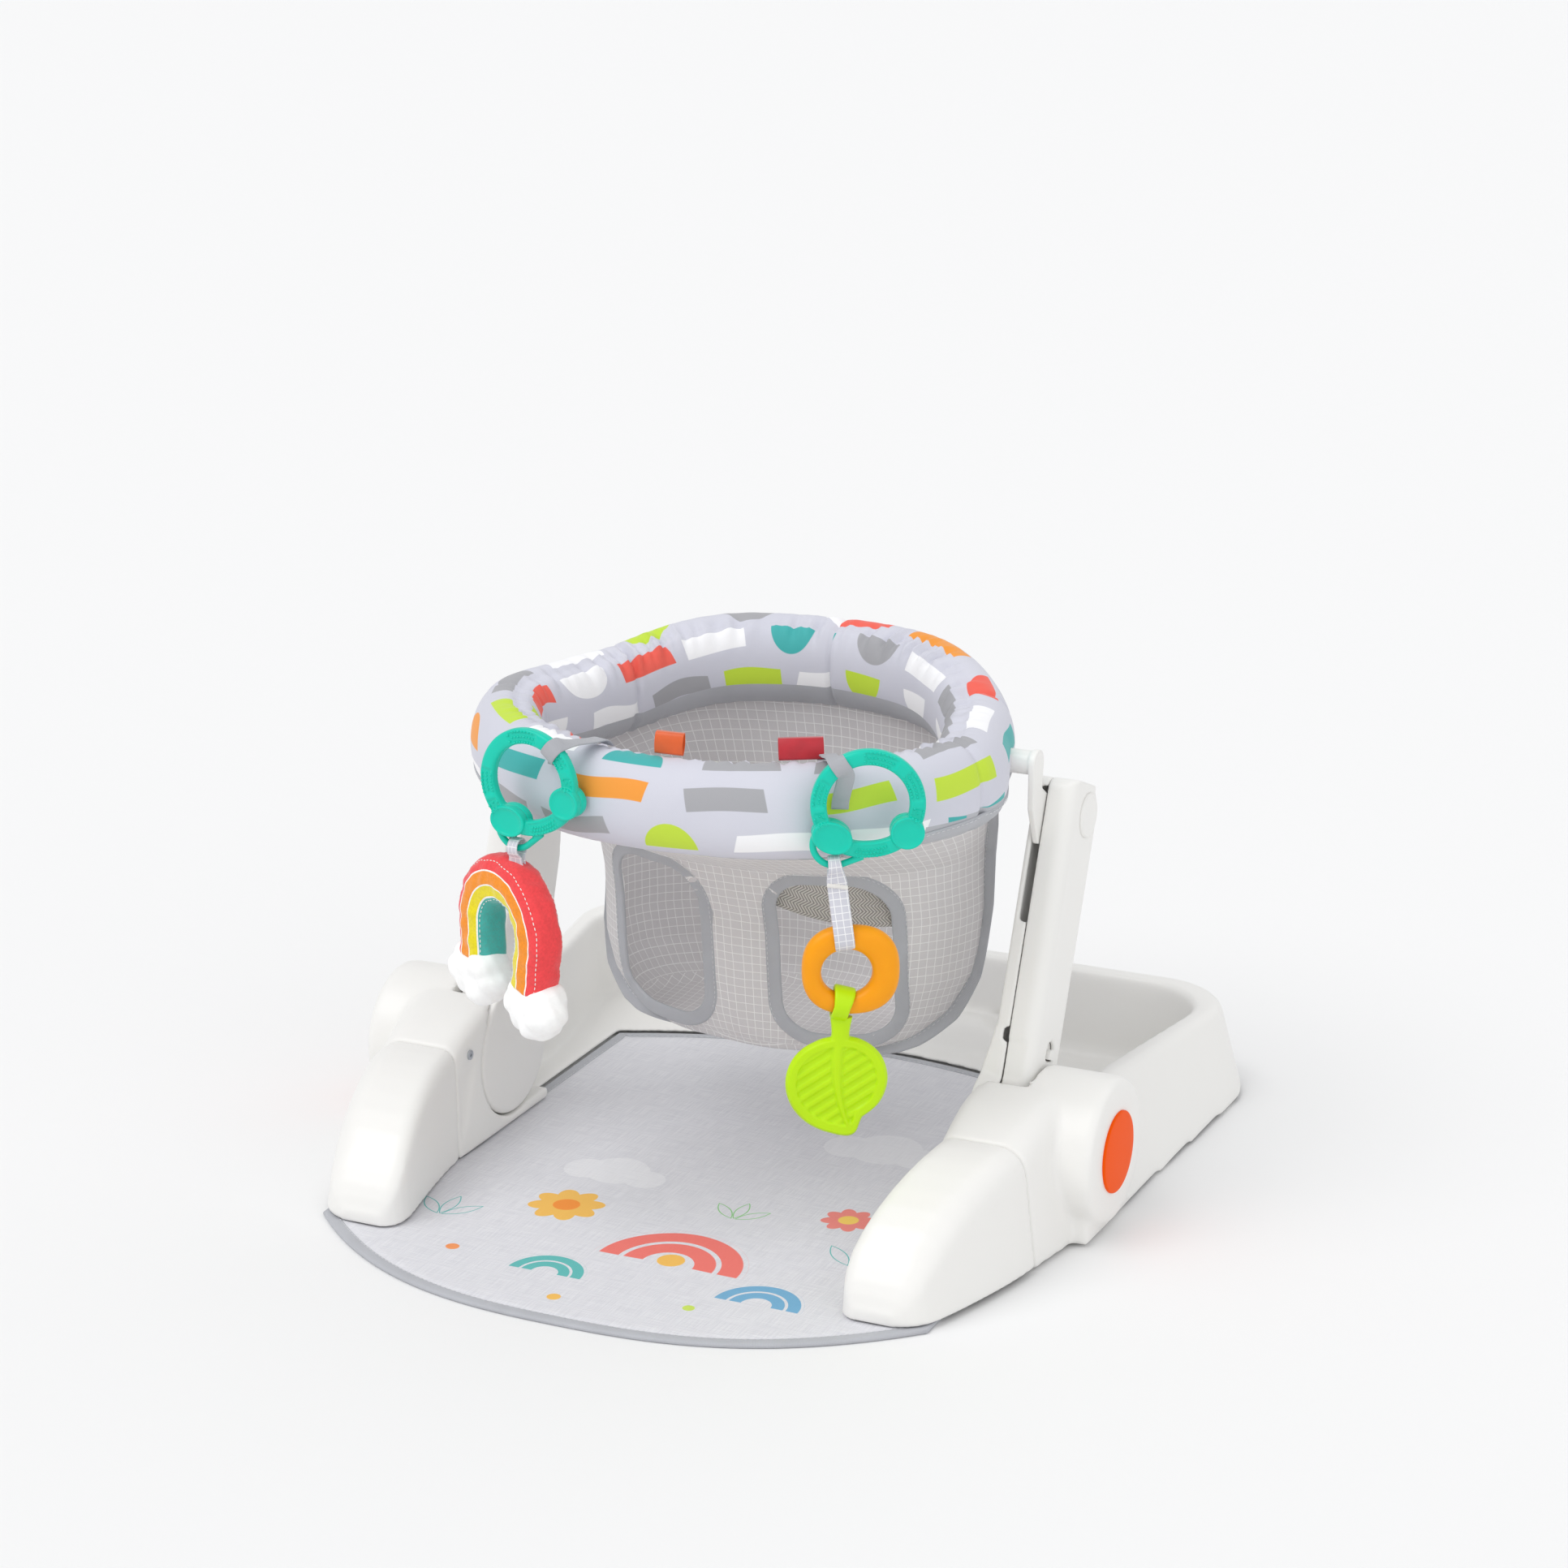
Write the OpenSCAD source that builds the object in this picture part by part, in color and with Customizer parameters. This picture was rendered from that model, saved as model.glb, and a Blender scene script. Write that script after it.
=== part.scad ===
// Baby floor seat: a padded ring seat on two folding uprights over a wide moulded base with a fabric mat.
// +X is the right side seen from the front, the front faces -Y, +Z is up, and the base stands on Z = 0.

/* [Base] */
// Overall width across the outer faces of the two hubs
base_w = 470; // [456:1:490]
// From the hub axis back to the rear of the tray
tray_back = 275; // [262:1:290]
// Height of the tray rail
rail_h = 60; // [54:1:66]
// Width of the rail at its top
rail_w = 15; // [12:0.5:18]
// Radius of the tray's rear corners at the bottom
tray_corner_r = 59; // [45:1:70]
// How far the outer wall of the tray leans in from bottom to top
tray_draft = 14; // [8:1:18]
// Thickness of the tray floor
floor_t = 3; // [2:0.5:4]
// Height of the raised step across the middle of the tray floor
step_h = 18; // [10:1:22]

/* [Side housings] */
// Height of the hub axis above the floor
hub_z = 50; // [48:0.5:54]
// Radius of the hub
hub_r = 43; // [42:0.5:45]
// Inner face of a side housing, from the middle plane
house_in = 153; // [150:1:154]
// From the hub axis forward to the seam between housing and nose
seam_ahead = 72; // [66:1:78]
// Height of a nose at the seam
seam_h = 74; // [68:1:78]
// Length of a nose from the seam to its tip
nose_len = 106; // [90:1:118]
// Height of the shoulder in front of the upright
shoulder_h = 88; // [84:1:90]

/* [Hub cap and axle] */
// Radius of the coloured cap in the hub
cap_r = 24; // [18:0.5:27]
// Depth of the cap's rim in its recess
cap_depth = 6; // [4:0.5:8]
// Radius of the axle an upright turns on
axle_r = 6; // [4:0.5:8]

/* [Uprights] */
// From the hub axis to the seat pivot
upright_len = 188; // [180:1:192]
// How far the uprights lean back from vertical
lean = 22.5; // [20:0.5:25]
// Inner face of an upright, from the middle plane
upright_in = 160.5; // [160:0.5:162]
// Thickness of the inner shell
inner_t = 8; // [7:0.5:9]
// Thickness of the outer shell
outer_t = 17.5; // [16:0.5:18.5]
// Wall of both shells
shell_wall = 2.5; // [2:0.1:3]
// Front face of an upright, ahead of its centre line
upright_front = 27; // [25:0.5:28]
// Rear face of the outer shell, behind the centre line
outer_rear = 16; // [15:0.5:18]
// Rear edge of the inner shell at its widest, behind the centre line
inner_rear = 32; // [26:0.5:34]
// Radius of the round foot of the inner shell
foot_r = 41; // [38:0.5:41]
// Radius of the cap on the seat pivot
pivot_cap_r = 13; // [10:0.5:13.5]
// Radius of the seat pivot pin
pin_r = 5; // [4:0.25:6]

/* [Release tab] */
// Width of the release tab
tab_w = 10; // [8:0.5:12]
// Travel of the release tab
tab_travel = 4; // [2:0.5:5]

/* [Seat ring] */
// Half width of the ring tube's loop at its widest
ring_half_w = 145; // [140:1:146]
// Half width of the loop beside the uprights
ring_waist = 132; // [126:1:133]
// From the loop's widest point to its front
ring_front = 128; // [115:1:135]
// From the loop's widest point to its back
ring_back = 130; // [120:1:136]
// Height of the loop above the floor
ring_z = 262; // [258:1:270]
// How much higher the loop is at the back
ring_rise = 14; // [0:1:24]
// Radius of the ring's steel tube
tube_r = 8; // [6:0.5:9]
// Depth of the padded cover, across the tube
pad_d = 48; // [40:1:49]
// Height of the padded cover
pad_h = 60; // [50:1:62]
// Thickness of the two seat brackets
bracket_t = 3.9; // [3:0.1:4.2]

/* [Seat sling] */
// Height of the bottom of the sling
sling_bottom = 75; // [70:1:95]
// Height of the waist of the sling
waist_z = 195; // [180:1:205]
// Half width of the sling at its waist
sling_half_w = 122; // [110:1:126]
// Thickness of the sling fabric with its lining
sling_t = 3; // [2:0.5:4]
// Width of a leg hole
leg_w = 64; // [50:1:70]
// Height of a leg hole
leg_h = 102; // [80:1:110]
// Width of the panel between the leg holes
crotch_w = 48; // [40:1:60]

/* [Mat] */
// Thickness of the mat
mat_t = 3; // [2:0.5:3.5]
// From the hub axis forward to the front edge of the mat
mat_front = 246; // [232:1:260]
// From the hub axis back to the rear edge of the mat
mat_back = 198; // [185:1:205]
// Half width of the mat under the noses
mat_half_w = 190; // [180:1:196]

/* [Toys] */
// Outside diameter of the two toy rings
toy_ring_d = 63; // [56:1:66]
// Width of the band of a toy ring
toy_band = 9; // [7:0.5:10]
// Thickness of a toy ring
toy_t = 7; // [5:0.5:8]
// Outside diameter of the amber teether
amber_d = 53; // [46:1:58]
// Width of the leaf teether
leaf_w = 58; // [48:1:64]
// Thickness of the leaf teether
leaf_t = 7; // [5:0.5:8]
// Width of the stuffed rainbow
rainbow_w = 84; // [70:1:90]
// Thickness of the stuffed rainbow
rainbow_t = 26; // [20:1:30]

/* [Hidden] */

// Clearances
slide_gap = 0.3;    // beside a moving or a soft piece
run_gap = 0.05;     // radial, round a pin or an axle
fit_gap = 0.15;     // between two fixed mouldings
house_gap = 1.3;    // between an upright and the hub behind it

// Base
hub_y = -15;                              // the hub axis, so that the base is centred on Y = 0
hub_face = base_w / 2;
foot_h = 2;                               // rubber feet lift the mouldings by this much
upright_mid = upright_in + inner_t;       // the seam between the two shells of an upright
upright_out = upright_mid + outer_t;
hub_in = upright_out + house_gap;         // inner face of the hub
rail_in = hub_in + 1.2;                   // inner face of the rail beside the hub
rail_flare = 17;                          // how much the rails spread towards the back
rail_start = 37;                          // the rails start behind the hubs, from the hub axis
shell_w = 3;                              // wall of the base mouldings
seam_y = -seam_ahead;
nose_tip_y = seam_y - nose_len;
foot_in = house_in + 1.5;                 // inner face of an upright's round foot
foot_gap = 1;                             // round the foot, in the housing
nose_floor = mat_t + 0.6;                 // the noses stand just over the mat
recess_h = 14;                            // the oval screw recess in a housing's inner wall
recess_w = 7;
recess_d = 2;
nose_screw_y = seam_y + 16;
nose_screw_z = seam_h - 9;

// Uprights, in a frame with its origin on the hub axis and +Z along the upright
boss_wall = 4;
top_over = 18;                            // the shells reach this far past the seat pivot
top_corner = 8;
slot_from = upright_len - 67;             // the slot that a seat bracket swings in
slot_to = upright_len + 12;
window_w = tab_w + 1.6;
window_from = hub_r + 1.4;
window_to = window_from + 7 + tab_travel;

// Seat pivot in the base's own frame
pivot_y = upright_len * sin(lean);
pivot_z = hub_z + upright_len * cos(lean);

// Seat ring
ring_y = 10;                              // the loop is widest here, behind the hub axis
arm_y = 38;                               // the bracket's arm reaches the tube here
arm_r = 7;
collar_r = tube_r + 4.5;
pad_steps = 72;
pad_sides = 16;

// Toys
toy_rim = toy_ring_d / 2 - toy_band / 2;  // middle radius of a toy ring's band
toy_left = [-64.5, -140.5, 271];
toy_right = [125, -106.5, 274];
toy_turn_left = -6;                       // about the vertical
toy_turn_right = 28;
toy_spin_left = 20;                       // in the ring's own plane
toy_spin_right = 0;
loop_at_left = 52;                        // where the fabric loop crosses the band
loop_at_right = 122;
eye_angle = 231.2;                        // the small eye below a lobe
eye_r = 12;
eye_wire = 1.9;
eye_at = toy_rim + 1.74;                  // from a toy ring's centre to its eye's centre
eye_lift = 0.3;                           // a strap's end sits this far above the eye's lowest point
loop_w = 9;
strap_w = 11;
strap_t = 1.2;
strap_head = 5.6;                          // a strap is gathered to this width round the eye
strap_eye = 4.4;                          // inner radius of a strap's end
amber_sec = 6;                            // half width of the amber teether's section
amber_rim = amber_d / 2 - amber_sec;
band_at = amber_rim - 0.54;               // the strap's band round the amber teether, from its centre
band_lean = 11.5;
hook_at = amber_rim - 0.36;               // the leaf's hook, from the same centre
hook_lean = -14.4;
leaf_h = 60;
rainbow_turn = -29;
rainbow_leg = 38;                         // the arch's straight legs
cloud_r = 17;

white = "#F7F6F4";
orange = "#F0561D";
steel = "#B9BDC1";
mat_grey = "#C9CACD";
bind_grey = "#97999D";
pad_grey = "#D9D9E2";
sling_grey = "#B5B2B0";
teal = "#20CDB4";
amber = "#F5A20C";
lime = "#B9E80A";
plush_red = "#F8494C";
rubber = "#55585C";

// ---------------------------------------------------------------- helpers

module seat_frame() translate([0, hub_y, 0]) children();
module on_side(side) seat_frame() mirror([side < 0 ? 1 : 0, 0, 0]) children();
module along_x(x) translate([x, 0, 0]) rotate([0, 90, 0]) children();
// The upright's own frame: +Z runs from the hub axis to the seat pivot, -Y is its front.
module upright_frame() translate([0, 0, hub_z]) rotate([-lean, 0, 0]) children();
// An outline drawn in Y and Z, extruded along X from x0 to x1.
module side_plate(x0, x1) translate([x0, 0, 0]) rotate([90, 0, 90]) linear_extrude(x1 - x0) children();

function ease(t) = t <= 0 ? 0 : t >= 1 ? 1 : t * t * (3 - 2 * t);
function arc(c, r, a0, a1, n) = [for (i = [0:n]) c + r * [cos(a0 + (a1 - a0) * i / n), sin(a0 + (a1 - a0) * i / n)]];

// A closed loop of section points swept into a solid. ringpts is a list of rings, each a list of points.
module loop_solid(ringpts) {
    n = len(ringpts);
    m = len(ringpts[0]);
    polyhedron(
        [for (r = ringpts) each r],
        [for (i = [0:n - 1]) for (j = [0:m - 1])
            [i * m + j, i * m + (j + 1) % m, ((i + 1) % n) * m + (j + 1) % m, ((i + 1) % n) * m + j]],
        convexity = 10);
}

// ---------------------------------------------------------------- base

// Outline of the tray in plan: the rails run straight from the front, flare and turn in round corners.
// near and far are half widths beside the hub and at the back, bend is where the flare starts.
function rail_side(near, far, bend, back, r, start) = concat([[near, start]],
    [for (i = [0:6]) [near + (far - near) * i / 7, bend + (back - r - bend) * i / 7]],
    arc([far - r, back - r], r, 0, 90, 12));
function both_sides(p) = concat(p, [for (i = [len(p) - 1:-1:0]) [-p[i][0], p[i][1]]]);

rim = 5;
tray_top = tray_back - tray_draft;
// Outer surface at height t of the rail, t from 0 at the bottom to 1 at the rim, drawn in by inset.
function tray_skin(t, inset) = both_sides(rail_side(hub_face - 5 - 33 * t - inset, hub_face + 1 - 15 * t - inset,
    rail_start + 30, tray_back - tray_draft * t - inset, tray_corner_r - 12 * t - inset, rail_start));
// Inner surface of the rail. drop draws it in towards the floor, grow moves it into the rail.
function tray_well(drop, grow) = both_sides(rail_side(rail_in - drop + grow, rail_in + rail_flare - drop + grow,
    100, tray_top - rail_w - drop + grow, tray_corner_r - 18 - drop + grow, rail_start));

// The rail: one hollow section, open below, carried round the tray.
module tray_rail() {
    levels = [
        [foot_h, tray_skin(0, 0.9)],
        [foot_h + 2.5, tray_skin(0.05, 0)],
        [rail_h * 0.35, tray_skin(0.35, 0)],
        [rail_h * 0.65, tray_skin(0.65, 0)],
        [rail_h - rim, tray_skin(0.92, 0)],
        [rail_h - rim * 0.35, tray_skin(1, 0.8)],
        [rail_h, tray_skin(1, 3.2)],
        [rail_h, tray_well(-2.8, 0)],
        [rail_h - rim * 0.35, tray_well(-0.7, 0)],
        [rail_h - rim, tray_well(0, 0)],
        [foot_h + floor_t + 6, tray_well(2.4, 0)],
        [foot_h + floor_t, tray_well(6, 0)],
        [foot_h, tray_well(6, 0)],
        [foot_h, tray_well(6, shell_w)],
        [foot_h + floor_t + 4, tray_well(2.4, shell_w)],
        [rail_h - shell_w - 1.5, tray_well(0, shell_w)],
        [rail_h - shell_w - 1.5, tray_skin(0.9, shell_w)],
        [foot_h + 4, tray_skin(0.06, shell_w)],
        [foot_h, tray_skin(0, shell_w)]];
    m = len(levels);
    n = len(levels[0][1]);
    polyhedron(
        [for (i = [0:n - 1]) each [for (l = levels) [l[1][i][0], l[1][i][1], l[0]]]],
        concat([[for (j = [m - 1:-1:0]) j]], [[for (j = [0:m - 1]) (n - 1) * m + j]],
            [for (i = [0:n - 2]) each [for (j = [0:m - 1]) each [
                [i * m + j, (i + 1) * m + (j + 1) % m, (i + 1) * m + j],
                [i * m + j, i * m + (j + 1) % m, (i + 1) * m + (j + 1) % m]]]]),
        convexity = 10);
}

// Plan of the mat. grow widens it evenly for the cut-outs over it.
function mat_outline(grow) = concat(
    [for (i = [0:24]) let (x = -mat_half_w + 2 * mat_half_w * i / 24, t = x / mat_half_w)
        [x + grow * t, -mat_front + 76 * pow(abs(t), 2.6) - grow]],
    [[mat_half_w + grow, -122], [house_in + 12 + grow, -85], [house_in + 12 + grow, 118]],
    [for (i = [0:16]) let (t = 1 - i / 8)
        [(house_in + 12) * t + grow * t, mat_back + grow - 40 * t * t]],
    [[-house_in - 12 - grow, 118], [-house_in - 12 - grow, -85], [-mat_half_w - grow, -122]]);

// Room over the mat, between the side housings.
module mat_room() linear_extrude(mat_t + 0.6) polygon(mat_outline(0.6));

// The floor, with a raised step across its middle: level outlines joined into one solid.
module tray_floor() {
    translate([0, 0, foot_h + 0.1]) linear_extrude(floor_t - 0.2) polygon(tray_well(6, 1.7));
    translate([-100, 0, 0]) rotate([90, 0, 90]) linear_extrude(200) step_side();
}
module step_side() polygon([
    [mat_back + 14, foot_h + 1],
    [tray_top - rail_w - 4.7, foot_h + 1],
    [tray_top - rail_w - 4.7, foot_h + floor_t + step_h - 3],
    [tray_top - rail_w - 8, foot_h + floor_t + step_h],
    [mat_back + 34, foot_h + floor_t + step_h],
    [mat_back + 28, foot_h + floor_t + step_h - 3],
    [mat_back + 14, foot_h + floor_t - 0.4]]);

tray_foot_at = [[rail_in + 18, 96], [rail_in + 27, tray_back - 70]];

module rear_tray() color(white) seat_frame() difference() {
    union() {
        tray_rail();
        tray_floor();
        // seats of the feet, between the rail's walls
        for (s = [-1, 1]) mirror([s < 0 ? 1 : 0, 0, 0]) {
            translate([rail_in - 4.6, tray_foot_at[0][1] - 11, foot_h + 0.05]) cube([hub_face - rail_in - 2.5, 22, 2.6]);
            translate([rail_in + 12, tray_foot_at[1][1] - 11, foot_h + 0.05]) cube([hub_face - rail_in - 13, 22, 2.6]);
        }
    }
    // the step slopes down to both sides
    for (s = [-1, 1]) mirror([s < 0 ? 1 : 0, 0, 0]) translate([0, mat_back + 10, 0]) rotate([-90, 0, 0])
        linear_extrude(tray_top - rail_w - 10.3 - mat_back) polygon([
            [58, -foot_h - floor_t - step_h - 1], [58, -foot_h - floor_t - step_h + 0.6],
            [92, -foot_h - floor_t - 1], [102, -foot_h - floor_t + 0.15], [102, -foot_h - floor_t - step_h - 1]]);
    // the mat fills the middle
    translate([0, 0, -1]) linear_extrude(16) intersection() {
        polygon(mat_outline(0.6));
        translate([-house_in - 13, -400]) square([2 * house_in + 26, 800]);
    }
    // clearance round the hubs and the sills of the housings
    for (s = [-1, 1]) mirror([s < 0 ? 1 : 0, 0, 0]) {
        translate([0, 0, hub_z]) along_x(hub_in - 1) cylinder(h = hub_face - hub_in + 12.3, r = hub_r + fit_gap, $fn = 96);
        translate([house_in - 1, 0, -1]) cube([hub_in + 1 - house_in + 11, hub_sill_back + fit_gap, 13]);
    }
}

// Sections across a side housing and its nose, in X and Z.
hub_sill_back = 40;
function arm_section(inner, outer, top, bottom) =
    let (ri = min(10, (top - bottom) * 0.35), ro = min(17, (top - bottom) * 0.45), lean_in = (top - bottom) * 0.09)
    concat([[inner, bottom], [outer - 1, bottom], [outer, bottom + 1]],
        arc([outer - lean_in - ro, top - ro], ro, 5, 90, 8),
        arc([inner + 1 + ri, top - ri], ri, 90, 178, 7));

// A solid through sections across Y, each given as [y, inner, outer, top, bottom].
module arm_loft(stations) {
    rings = [for (t = stations) [for (q = arm_section(t[1], t[2], t[3], t[4])) [q[0], t[0], q[1]]]];
    n = len(rings[0]);
    m = len(rings);
    polyhedron(
        [for (r = rings) each r],
        concat([[for (i = [n - 1:-1:0]) i]], [[for (i = [0:n - 1]) (m - 1) * n + i]],
            [for (k = [0:m - 2]) each [for (i = [0:n - 1]) each [
                [k * n + i, k * n + (i + 1) % n, (k + 1) * n + (i + 1) % n],
                [k * n + i, (k + 1) * n + (i + 1) % n, (k + 1) * n + i]]]]),
        convexity = 10);
}

seam_in = house_in + 1;
seam_out = hub_face - 20.5;

// The nose narrows and turns inwards towards its tip: t runs from 0 at the seam to 1 at the tip.
function nose_top(t) = nose_floor + (seam_h - nose_floor) * pow(1 - pow(t, 1.9), 0.54);
function nose_in(t) = seam_in - 21 * pow(t, 1.3) + 14 * pow(t, 16);
function nose_out(t) = seam_out - 28 * pow(t, 1.35) - 14 * pow(t, 20);
nose_t = [1, 0.99, 0.97, 0.94, 0.89, 0.82, 0.73, 0.62, 0.5, 0.37, 0.25, 0.12, 0];

module nose_body(wall, floor_z) arm_loft([for (t = nose_t) [seam_y - fit_gap - (nose_len - fit_gap - wall) * t,
    nose_in(t) + wall, nose_out(t) - wall * 1.2, max(nose_top(t), nose_floor + 7) - wall * 1.1, floor_z]]);

module nose(side) color(white) on_side(side) difference() {
    nose_body(0, nose_floor);
    // open from below, with cross walls
    difference() {
        nose_body(shell_w, nose_floor - 2);
        for (y = [-30, -62]) translate([house_in - 40, seam_y + y, nose_floor]) cube([120, 2.4, 80]);
        translate([house_in - 40, seam_y - fit_gap - 2.6, nose_floor]) cube([120, 4, 80]);
    }
}

// From the seam back to the upright, with the shoulder in front of it.
module housing_body() {
    arm_loft([
        [seam_y, seam_in, seam_out, seam_h, foot_h],
        [seam_y + 14, house_in + 0.5, seam_out + 2, seam_h + (shoulder_h - seam_h) * 0.42, foot_h],
        [seam_y + 30, house_in, seam_out + 4.5, seam_h + (shoulder_h - seam_h) * 0.78, foot_h],
        [seam_y + 46, house_in, seam_out + 7, shoulder_h, foot_h],
        [-8, house_in, seam_out + 9, shoulder_h + 1, foot_h],
        [12, house_in, seam_out + 11, shoulder_h - 2, foot_h]]);
    // sill under the upright's foot
    translate([house_in, 0, foot_h]) cube([hub_in - house_in + 10, hub_sill_back, 8]);
    // the rail's section carried forward under the hub
    arm_loft([for (y = [-30, rail_start - fit_gap]) [y, hub_in + 2, hub_face - 5, rail_h, foot_h]]);
}

// The hub: a drum with a rounded rim, its inner end cut back by the room for the upright's foot.
module hub_drum() along_x(hub_in - 3) rotate_extrude($fn = 96) polygon(concat(
    [[0, 0], [hub_r, 0]],
    arc([hub_r - 5, hub_face - hub_in - 2], 5, 0, 90, 8),
    [[0, hub_face - hub_in + 3]]));

module side_housing(side) color(white) on_side(side) difference() {
    union() {
        housing_body();
        translate([0, 0, hub_z]) hub_drum();
    }
    // room for the upright's round foot and its shank, at rest and as it swings back
    translate([0, 0, hub_z]) along_x(house_in - 1) cylinder(h = hub_in - house_in + 1.3, r = foot_r + foot_gap, $fn = 96);
    upright_frame() translate([house_in - 1, -upright_front - foot_gap, 0])
        cube([hub_in - house_in + 1, 200, 120]);
    translate([house_in - 1, 0, foot_h + 8]) cube([hub_in - house_in + 1, 80, 200]);
    // hollow in front of the hub, open from below
    difference() {
        translate([house_in + shell_w, seam_y + shell_w, 0]) cube([seam_out - house_in - 2 * shell_w - 4, 34, seam_h - 16]);
        translate([0, 0, hub_z]) along_x(house_in - 1) cylinder(h = 80, r = foot_r + foot_gap + shell_w, $fn = 96);
        translate([house_in + 28, seam_y, 0]) cube([2.4, 60, seam_h]);
    }
    // recess for the hub cap, bore for the axle
    translate([0, 0, hub_z]) along_x(hub_face - cap_depth) cylinder(h = cap_depth + 1, r = cap_r + slide_gap, $fn = 96);
    translate([0, 0, hub_z]) along_x(hub_in - 1)
        cylinder(h = hub_face - cap_depth - 4 - hub_in + 1, r = axle_r + run_gap, $fn = 64);
    // oval recess and hole for the nose screw
    translate([0, nose_screw_y, nose_screw_z]) {
        side_plate(house_in - 1, house_in + recess_d) recess_outline();
        along_x(house_in) cylinder(h = 12, r = 1.6, $fn = 32);
    }
    mat_room();
}

module recess_outline() union() {
    for (s = [-1, 1]) translate([0, s * (recess_h - recess_w) / 2]) circle(r = recess_w / 2, $fn = 40);
    square([recess_w, recess_h - recess_w], center = true);
}

module nose_screws() color(steel) for (side = [-1, 1]) on_side(side)
    translate([0, nose_screw_y, nose_screw_z]) difference() {
        union() {
            along_x(house_in + recess_d - 1.2) cylinder(h = 1.2, r = 3, $fn = 40);
            along_x(house_in + recess_d - 0.5) cylinder(h = 8, r = 1.5, $fn = 32);
        }
        along_x(house_in + recess_d - 1.4) cylinder(h = 0.8, r = 1.2, $fn = 6);
    }

foot_pad_r = 9;
module feet() color(rubber) for (side = [-1, 1]) on_side(side)
    for (p = concat([[hub_in + 24, 4]], tray_foot_at))
        translate([p[0], p[1], 0]) rotate_extrude($fn = 48)
            polygon([[0, 0], [foot_pad_r - 1, 0], [foot_pad_r, 1], [foot_pad_r, foot_h], [0, foot_h]]);

bind_w = 8;
module mat() color(mat_grey) seat_frame() linear_extrude(mat_t) polygon(mat_outline(-bind_w));

module mat_binding() color(bind_grey) seat_frame() linear_extrude(mat_t) difference() {
    polygon(mat_outline(0));
    polygon(mat_outline(-bind_w + slide_gap));
}

// ---------------------------------------------------------------- hub cap, axle

module hub_cap(side) color(orange) on_side(side) translate([0, 0, hub_z]) along_x(hub_face - cap_depth + slide_gap)
    rotate_extrude($fn = 96) polygon(concat(
        [[0, 0], [cap_r, 0], [cap_r, cap_depth - 1]],
        arc([cap_r - 1.5, cap_depth - 0.5], 1.5, 0, 80, 5),
        [[cap_r - 6, cap_depth + 1.6], [0, cap_depth + 2.1]]));

module hub_axle(side) color(steel) on_side(side) translate([0, 0, hub_z]) {
    along_x(foot_in + 4) cylinder(h = hub_face - cap_depth - 4.3 - foot_in - 4, r = axle_r, $fn = 64);
}

// ---------------------------------------------------------------- uprights

// Outline of the outer shell in the upright's frame.
module outer_outline(inset) {
    circle(r = foot_r - 3 - inset, $fn = 96);
    difference() {
        union() {
            translate([-upright_front + inset, 0]) square([upright_front + outer_rear - 2 * inset, upright_len]);
            translate([-upright_front + inset, upright_len - 1])
                square([upright_front + outer_rear - 2 * inset - top_corner, top_over + 1 - inset]);
            translate([-upright_front + inset, upright_len - 1])
                square([upright_front + outer_rear - 2 * inset, 2]);
            circle_at(0, upright_len, outer_rear - inset);
        }
        corner_cut(-upright_front + inset, upright_len + top_over - inset, top_corner);
    }
}
module circle_at(y, z, r) translate([y, z]) circle(r = r, $fn = 64);
// Takes the sharp corner off an outline at its top left.
module corner_cut(y, z, r) difference() {
    translate([y - 1, z - r]) square([r + 1, r + 1]);
    translate([y + r, z - r]) circle(r = r, $fn = 48);
}

module inner_outline(inset) {
    circle(r = foot_r - inset, $fn = 96);
    difference() {
        polygon([
            [-upright_front + inset, 10],
            [-upright_front + inset, upright_len + top_over - inset],
            [outer_rear - 6 - inset, upright_len + top_over - inset],
            [outer_rear - inset, upright_len + 8],
            [outer_rear + 2 - inset, upright_len - 20],
            [inner_rear - 2 - inset, upright_len * 0.64],
            [inner_rear - inset, upright_len * 0.5],
            [inner_rear + 1 - inset, 28]]);
        corner_cut(-upright_front + inset, upright_len + top_over - inset, top_corner);
    }
}

// Trims the long front edge of the outer shell to a radius.
edge_r = 9;
module edge_trim(inset) translate([upright_out - inset, -upright_front + inset, -60]) mirror([1, 0, 0])
    linear_extrude(upright_len + 100) difference() {
        translate([-1, -1]) square(edge_r - inset + 1);
        translate([edge_r - inset, edge_r - inset]) circle(r = edge_r - inset, $fn = 64);
    }

module upright_outer(side) color(white) on_side(side) upright_frame() difference() {
    side_plate(upright_mid, upright_out) outer_outline(0);
    edge_trim(0);
    // shallow step across the foot of the front face
    translate([upright_mid - 1, -upright_front - 1, 30]) cube([outer_t + 2, 1.8, 24]);
    difference() {
        side_plate(upright_mid - 1, upright_out - shell_wall) outer_outline(shell_wall);
        edge_trim(shell_wall);
        along_x(upright_mid - 2) cylinder(h = outer_t + 3, r = axle_r + run_gap + boss_wall, $fn = 64);
        translate([0, 0, upright_len]) along_x(upright_mid + 1) cylinder(h = outer_t, r = pin_r + run_gap + boss_wall, $fn = 64);
        // ribs that stiffen the shank
        for (z = [70, 100, 130]) translate([upright_mid + 1, -upright_front, z]) cube([outer_t, upright_front + outer_rear, 1.8]);
    }
    along_x(upright_mid - 1) cylinder(h = outer_t + 2, r = axle_r + run_gap, $fn = 64);
    translate([0, 0, upright_len]) along_x(upright_mid - 1) cylinder(h = outer_t + 2, r = pin_r + run_gap, $fn = 64);
    // counterbore for the pivot cap
    translate([0, 0, upright_len]) along_x(upright_out - 1.5) cylinder(h = 3, r = pivot_cap_r + slide_gap, $fn = 64);
    // arched window for the release tab
    side_plate(upright_out - shell_wall - 1, upright_out + 1) window_outline(window_w, window_from, window_to);
}

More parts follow.
